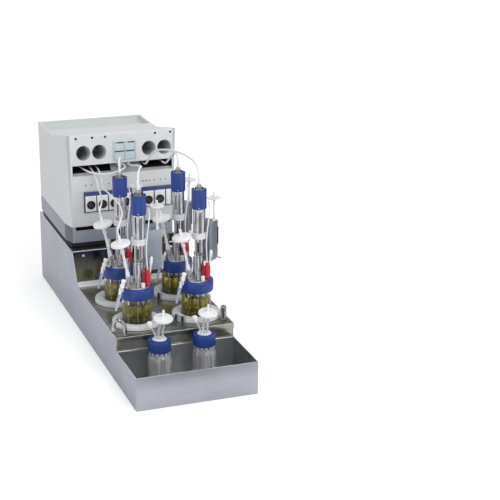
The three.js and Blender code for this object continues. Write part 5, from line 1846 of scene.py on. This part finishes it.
# %% Everything on the lids in its place
condenser_turns = (0, 40, 35, 60)
on_lid = (
    ("lid", lid_mesh, "polished_steel", "head_plate"),
    ("lid_ports", ports_mesh, "polished_steel", None),
    ("luer_lock", luer_mesh, "white_plastic", None),
    ("sensor_head", sensor_mesh, "red_plastic", None),
    ("slim_sensor", slim_mesh, "red_plastic", None),
    ("sensor_lead", sensor_lead_mesh, "white_cable", None),
    ("valve", valve_mesh, "white_plastic", None),
    ("valve_tip", tip_mesh, "clear_plastic", None),
    ("valve_ports", dots_mesh, "black_plastic", None),
    ("capped_tube", capped_mesh, "white_plastic", None),
    ("hose_ends", hose_ends_mesh, "clear_plastic", None),
    ("filter_disc", filter_mesh, "white_plastic", "inlet_filter"),
    ("filter_stem", stem_mesh, "clear_plastic", None),
)
on_condenser = (
    ("cooler", cooler_mesh, "anodised_aluminium", "condenser"),
    ("cooler_flutes", flute_mesh, "anodised_aluminium", None),
    ("cooler_plate", end_plate_mesh, "anodised_aluminium", None),
    ("cooler_handle", handle_mesh, "black_plastic", None),
    ("exhaust", exhaust_mesh, "clear_plastic", None),
    ("nipple", nipple_mesh, "polished_steel", None),
)


def set_down(group, number, spot, turned=0.0):
    """Places a vessel's copy of every piece in the group."""
    for label, mesh, slot_name, node in group:
        hidden = (f"{node}_{number}",) if node else ()
        piece(f"{label}_{number}", mesh, at=spot, turned=turned, slot=slot_name, replaces=hidden)


for number, (x, y) in enumerate(vessels, 1):
    set_down(on_lid, number, (x, y, DECK))
    spot = (x + CONDENSER_PORT[0], y + CONDENSER_PORT[1], DECK)
    set_down(on_condenser, number, spot, math.radians(condenser_turns[number - 1]))

# %% [markdown]
# ## Two bottles in the tray
#
# Each bottle is clear glass with a rounded shoulder, under a blue screw cap with an open top. A
# white insert fills the opening, two soft tubes rise from it to a tilted vent filter, and a third
# ends in a white plug. The cap is a body of its own and turns; the insert stays with the bottle, and
# so do the small white lugs that show all round below the cap.

# %% Bottle, cap and insert
bottle_profile = [
    (0, 0.3), (25, 0.3), (27, 1.0), (28, 3), (28, 61), (27.5, 64.5), (26.2, 68), (24.2, 71.5),
    (21.9, 74.6), (20.6, 76.8), (20.6, 77.6), (23.4, 78.2), (24.1, 79.0), (23.6, 80.2),
    (19.5, 80.8), (19.5, 104.4), (19.0, 105), (18.0, 105), (17.5, 104.4), (17.5, 80), (18.4, 76.8),
    (20.2, 73.6), (22.4, 70.4), (24.4, 67), (25.6, 64), (26, 61), (26, 4), (25.4, 3.0), (24, 2.5),
    (0, 2.8),
]
bottle_mesh = shape("bottle_glass", turn(bottle_profile, 96), bottle_clear)
bottle_cap_profile = [
    (20.2, 82.6), (20.8, 82), (25.6, 82), (26.2, 82.6), (26.2, 108.6), (25.6, 110.2), (24.2, 111),
    (22.4, 111), (22.1, 110.3), (21.1, 110.3), (20.8, 111), (17.6, 111), (17, 110.4), (17, 108),
    (20.2, 108),
]
cap_rib = block((-0.3, 0.65), (-0.7, 0.7), (82.8, 104.5), 0.3, 2)
bottle_cap_mesh = repeat(
    circle_tree, shape("bottle_cap_body", turn(bottle_cap_profile, 96, closed=True), blue_plastic),
    shape("bottle_cap_rib", cap_rib, blue_plastic), blue_plastic, Count=48, Radius=26.1, Start=0.0,
)
lug = shape("bottle_lug", block((24.3, 25.5), (-1.5, 1.5), (77.9, 81.7), 0.5, 2), white_plastic)
lugs_mesh = repeat(circle_tree, None, lug, white_plastic, Count=14, Radius=0.0, Start=0.12)
insert_profile = [
    (0, 105.3), (18.6, 105.3), (19.0, 105.7), (19.0, 107.3), (18.6, 107.7), (16.5, 107.7), (16.5, 111.5),
    (16.0, 112), (12.4, 112), (11.8, 111.5), (0, 111.5),
]
insert_mesh = shape("bottle_insert", turn(insert_profile, 64), white_plastic)
print("bottle:", len(bottle_mesh.polygons), "faces, cap:", len(bottle_cap_mesh.polygons))

# %% Vent filter, its tubes and the side plug
VENT = Matrix.Translation((9, 0, 156)) @ Matrix.Rotation(math.radians(10), 4, "X")
vent_profile = [
    (0, 0), (18, 0), (21.2, 0.7), (22.8, 2.4), (23.0, 4.2), (22.2, 6.0), (20.4, 6.9), (17.4, 7.0),
    (16.8, 6.6), (15.8, 6.6), (15.2, 7.0), (6, 7.4), (3.6, 8.4), (3.0, 10), (3.0, 25.4),
    (2.4, 26.4), (0, 27),
]
vent_mesh = shape("vent_filter", merged((turn(vent_profile, 72), VENT)), white_plastic)
plug_stand = between(
    (-22, -4, 143), (-26, -5.2, 158),
    [
        (0, 0), (3.4, 0), (3.4, 0.16), (5.4, 0.22), (6.0, 0.30), (6.0, 0.84), (5.4, 0.95),
        (3.0, 1.0), (0, 1.0),
    ],
)
side_plug_mesh = shape("side_plug", plug_stand, white_plastic)
bottle_tubes = merged(
    sweep([(-2, 0, 111.3), (-2.4, -0.4, 126), (0, -0.8, 142), (2, -0.6, 158)], 2.9, 20, 6),
    sweep([(8, 0, 111.3), (7.6, -0.4, 126), (9.6, -0.8, 142), (12, -0.6, 158)], 2.9, 20, 6),
    sweep([(-8, 0, 111.3), (-10.4, -0.6, 122), (-17, -2.4, 136), (-22, -4, 144.5)], 2.3, 20, 6),
)
bottle_tubes_mesh = shape("bottle_tubes", bottle_tubes, soft_tube)
for number in (1, 2):
    low, high = box_mm(f"bottle_glass_{number}")
    spot = ((low[0] + high[0]) / 2, (low[1] + high[1]) / 2, TRAY_FLOOR)
    piece(
        f"bottle_{number}", bottle_mesh, at=spot, slot="clear_glass",
        replaces=(f"bottle_glass_{number}",),
    )
    cap_body = f"bottle_cap_{number}"
    piece(
        f"bottle_cap_ring_{number}", bottle_cap_mesh, cap_body, spot,
        slot="blue_plastic", replaces=(cap_body,),
    )
    piece(f"bottle_lugs_{number}", lugs_mesh, at=spot, slot="white_plastic")
    hidden = (f"bottle_filter_{number}",)
    piece(f"bottle_insert_{number}", insert_mesh, at=spot, slot="white_plastic", replaces=hidden)
    piece(f"vent_filter_{number}", vent_mesh, at=spot, slot="white_plastic")
    piece(f"side_plug_{number}", side_plug_mesh, at=spot, slot="white_plastic")
    piece(f"bottle_tubes_{number}", bottle_tubes_mesh, at=spot, slot="clear_plastic")

# %% [markdown]
# ## The sensor inputs
#
# On the module's front two dark frames each hold a row of pale plates with a blue stripe above. A
# black round socket sits low in each plate: a raised collar, a recess and five pins. A row of small
# lamps runs above each frame. Sockets and plates repeat at one pitch, so each is one mesh set down
# several times.

# %% Frames, plates and sockets
SOCKET_PITCH = 31.0
SOCKET_FRAME = 3.0
STRIPE = 10.0
FRAME_THICK = 5.0
PLATE_PROUD = 1.5
socket_profile = [
    (0, -1.2), (11.0, -1.2), (11.0, 2.9), (10.4, 3.5), (8.7, 3.5), (8.1, 2.9), (8.1, 0.7),
    (6.2, 0.7), (5.8, 1.7), (0, 1.7),
]
socket_key = block((-1.6, 1.6), (5.2, 8.6), (0, 2.6), 0.4, 2)
pin = shape("socket_pin", turn([(0, 0.5), (0.7, 0.5), (0.7, 2.4), (0.4, 2.8), (0, 2.8)], 12), edge_steel)
socket_body = shape("socket_body", merged(turn(socket_profile, 56), socket_key), black_plastic)
socket_mesh = repeat(circle_tree, socket_body, pin, edge_steel, Count=5, Radius=3.9, Start=0.3)
socket_mesh.transform(FORWARDS)

for label, count in (("left", 4), ("right", 2)):
    low, high = box_mm(f"sensor_inputs_{label}")
    back = high[1]
    front = back - FRAME_THICK
    plate_z = (low[2] + SOCKET_FRAME, high[2] - STRIPE)
    frame_bar = block((low[0], high[0]), (front, back), (low[2], high[2]), 0.6, 2)
    frame_mesh = shape("input_frame", frame_bar, slate_frame)
    piece(
        f"input_frame_{label}", frame_mesh,
        slot="black_plastic", replaces=(f"sensor_inputs_{label}",),
    )
    stripe_z = (high[2] - STRIPE, high[2] - 0.8)
    stripe = block((low[0] + 1, high[0] - 1), (front - 0.4, front + 1), stripe_z, 0.3, 2)
    piece(f"input_stripe_{label}", shape("input_stripe", stripe, deep_blue), slot="blue_plastic")
    for number in range(count):
        start = low[0] + SOCKET_FRAME + number * SOCKET_PITCH
        sides = (start, start + SOCKET_PITCH - SOCKET_FRAME)
        plate = block(sides, (front - PLATE_PROUD, front + 1), plate_z, 0.5, 2)
        plate_mesh = shape("input_plate", plate, white_plastic)
        piece(f"input_plate_{label}_{number + 1}", plate_mesh, slot="white_plastic")
        spot = (sum(sides) / 2, front - PLATE_PROUD, (low[2] + SOCKET_FRAME + high[2] - STRIPE) / 2 - 3)
        piece(f"socket_{label}_{number + 1}", socket_mesh, at=spot, slot="black_plastic")
    rest = (low[0] + SOCKET_FRAME + count * SOCKET_PITCH, high[0] - SOCKET_FRAME)
    if rest[1] > rest[0]:
        blank = block(rest, (front - PLATE_PROUD, front + 1), plate_z, 0.5, 2)
        piece(f"input_blank_{label}", shape("input_blank", blank, white_plastic), slot="white_plastic")
print("sockets:", len(socket_mesh.polygons), "faces each")

# %% Small lamps above the frames
lamp_profile = [(0, -0.6), (3.2, -0.6), (3.2, 0.15), (2.9, 0.4), (1.7, 0.4), (0, 0.4)]
lamp_rim = shape("lamp_rim", turn(lamp_profile, 24), white_plastic)
lamp_rim.transform(FORWARDS)
lens_profile = [(0, 0), (2.0, 0), (2.0, 0.6), (1.5, 0.9), (0, 1.0)]
lamp_places = [(-97.4 + 15.3 * i, HOUSE + 110) for i in range(5)]
lamp_places += [(x, HOUSE + 108.5) for x in (42.3, 55.5, 63.3, 72.5, 86.0, 102.6, 115.4)]
for number, (x, z) in enumerate(lamp_places, 1):
    lens_finish = amber_lens if number == 3 else dark_lens
    lens = shape("lamp_lens", turn(lens_profile, 20), lens_finish)
    lens.transform(FORWARDS)
    piece(f"lamp_rim_{number}", lamp_rim, at=(x, FRONT, z), slot="white_plastic")
    piece(f"lamp_lens_{number}", lens, at=(x, FRONT, z), slot="black_plastic")
print("lamps:", len(lamp_places))
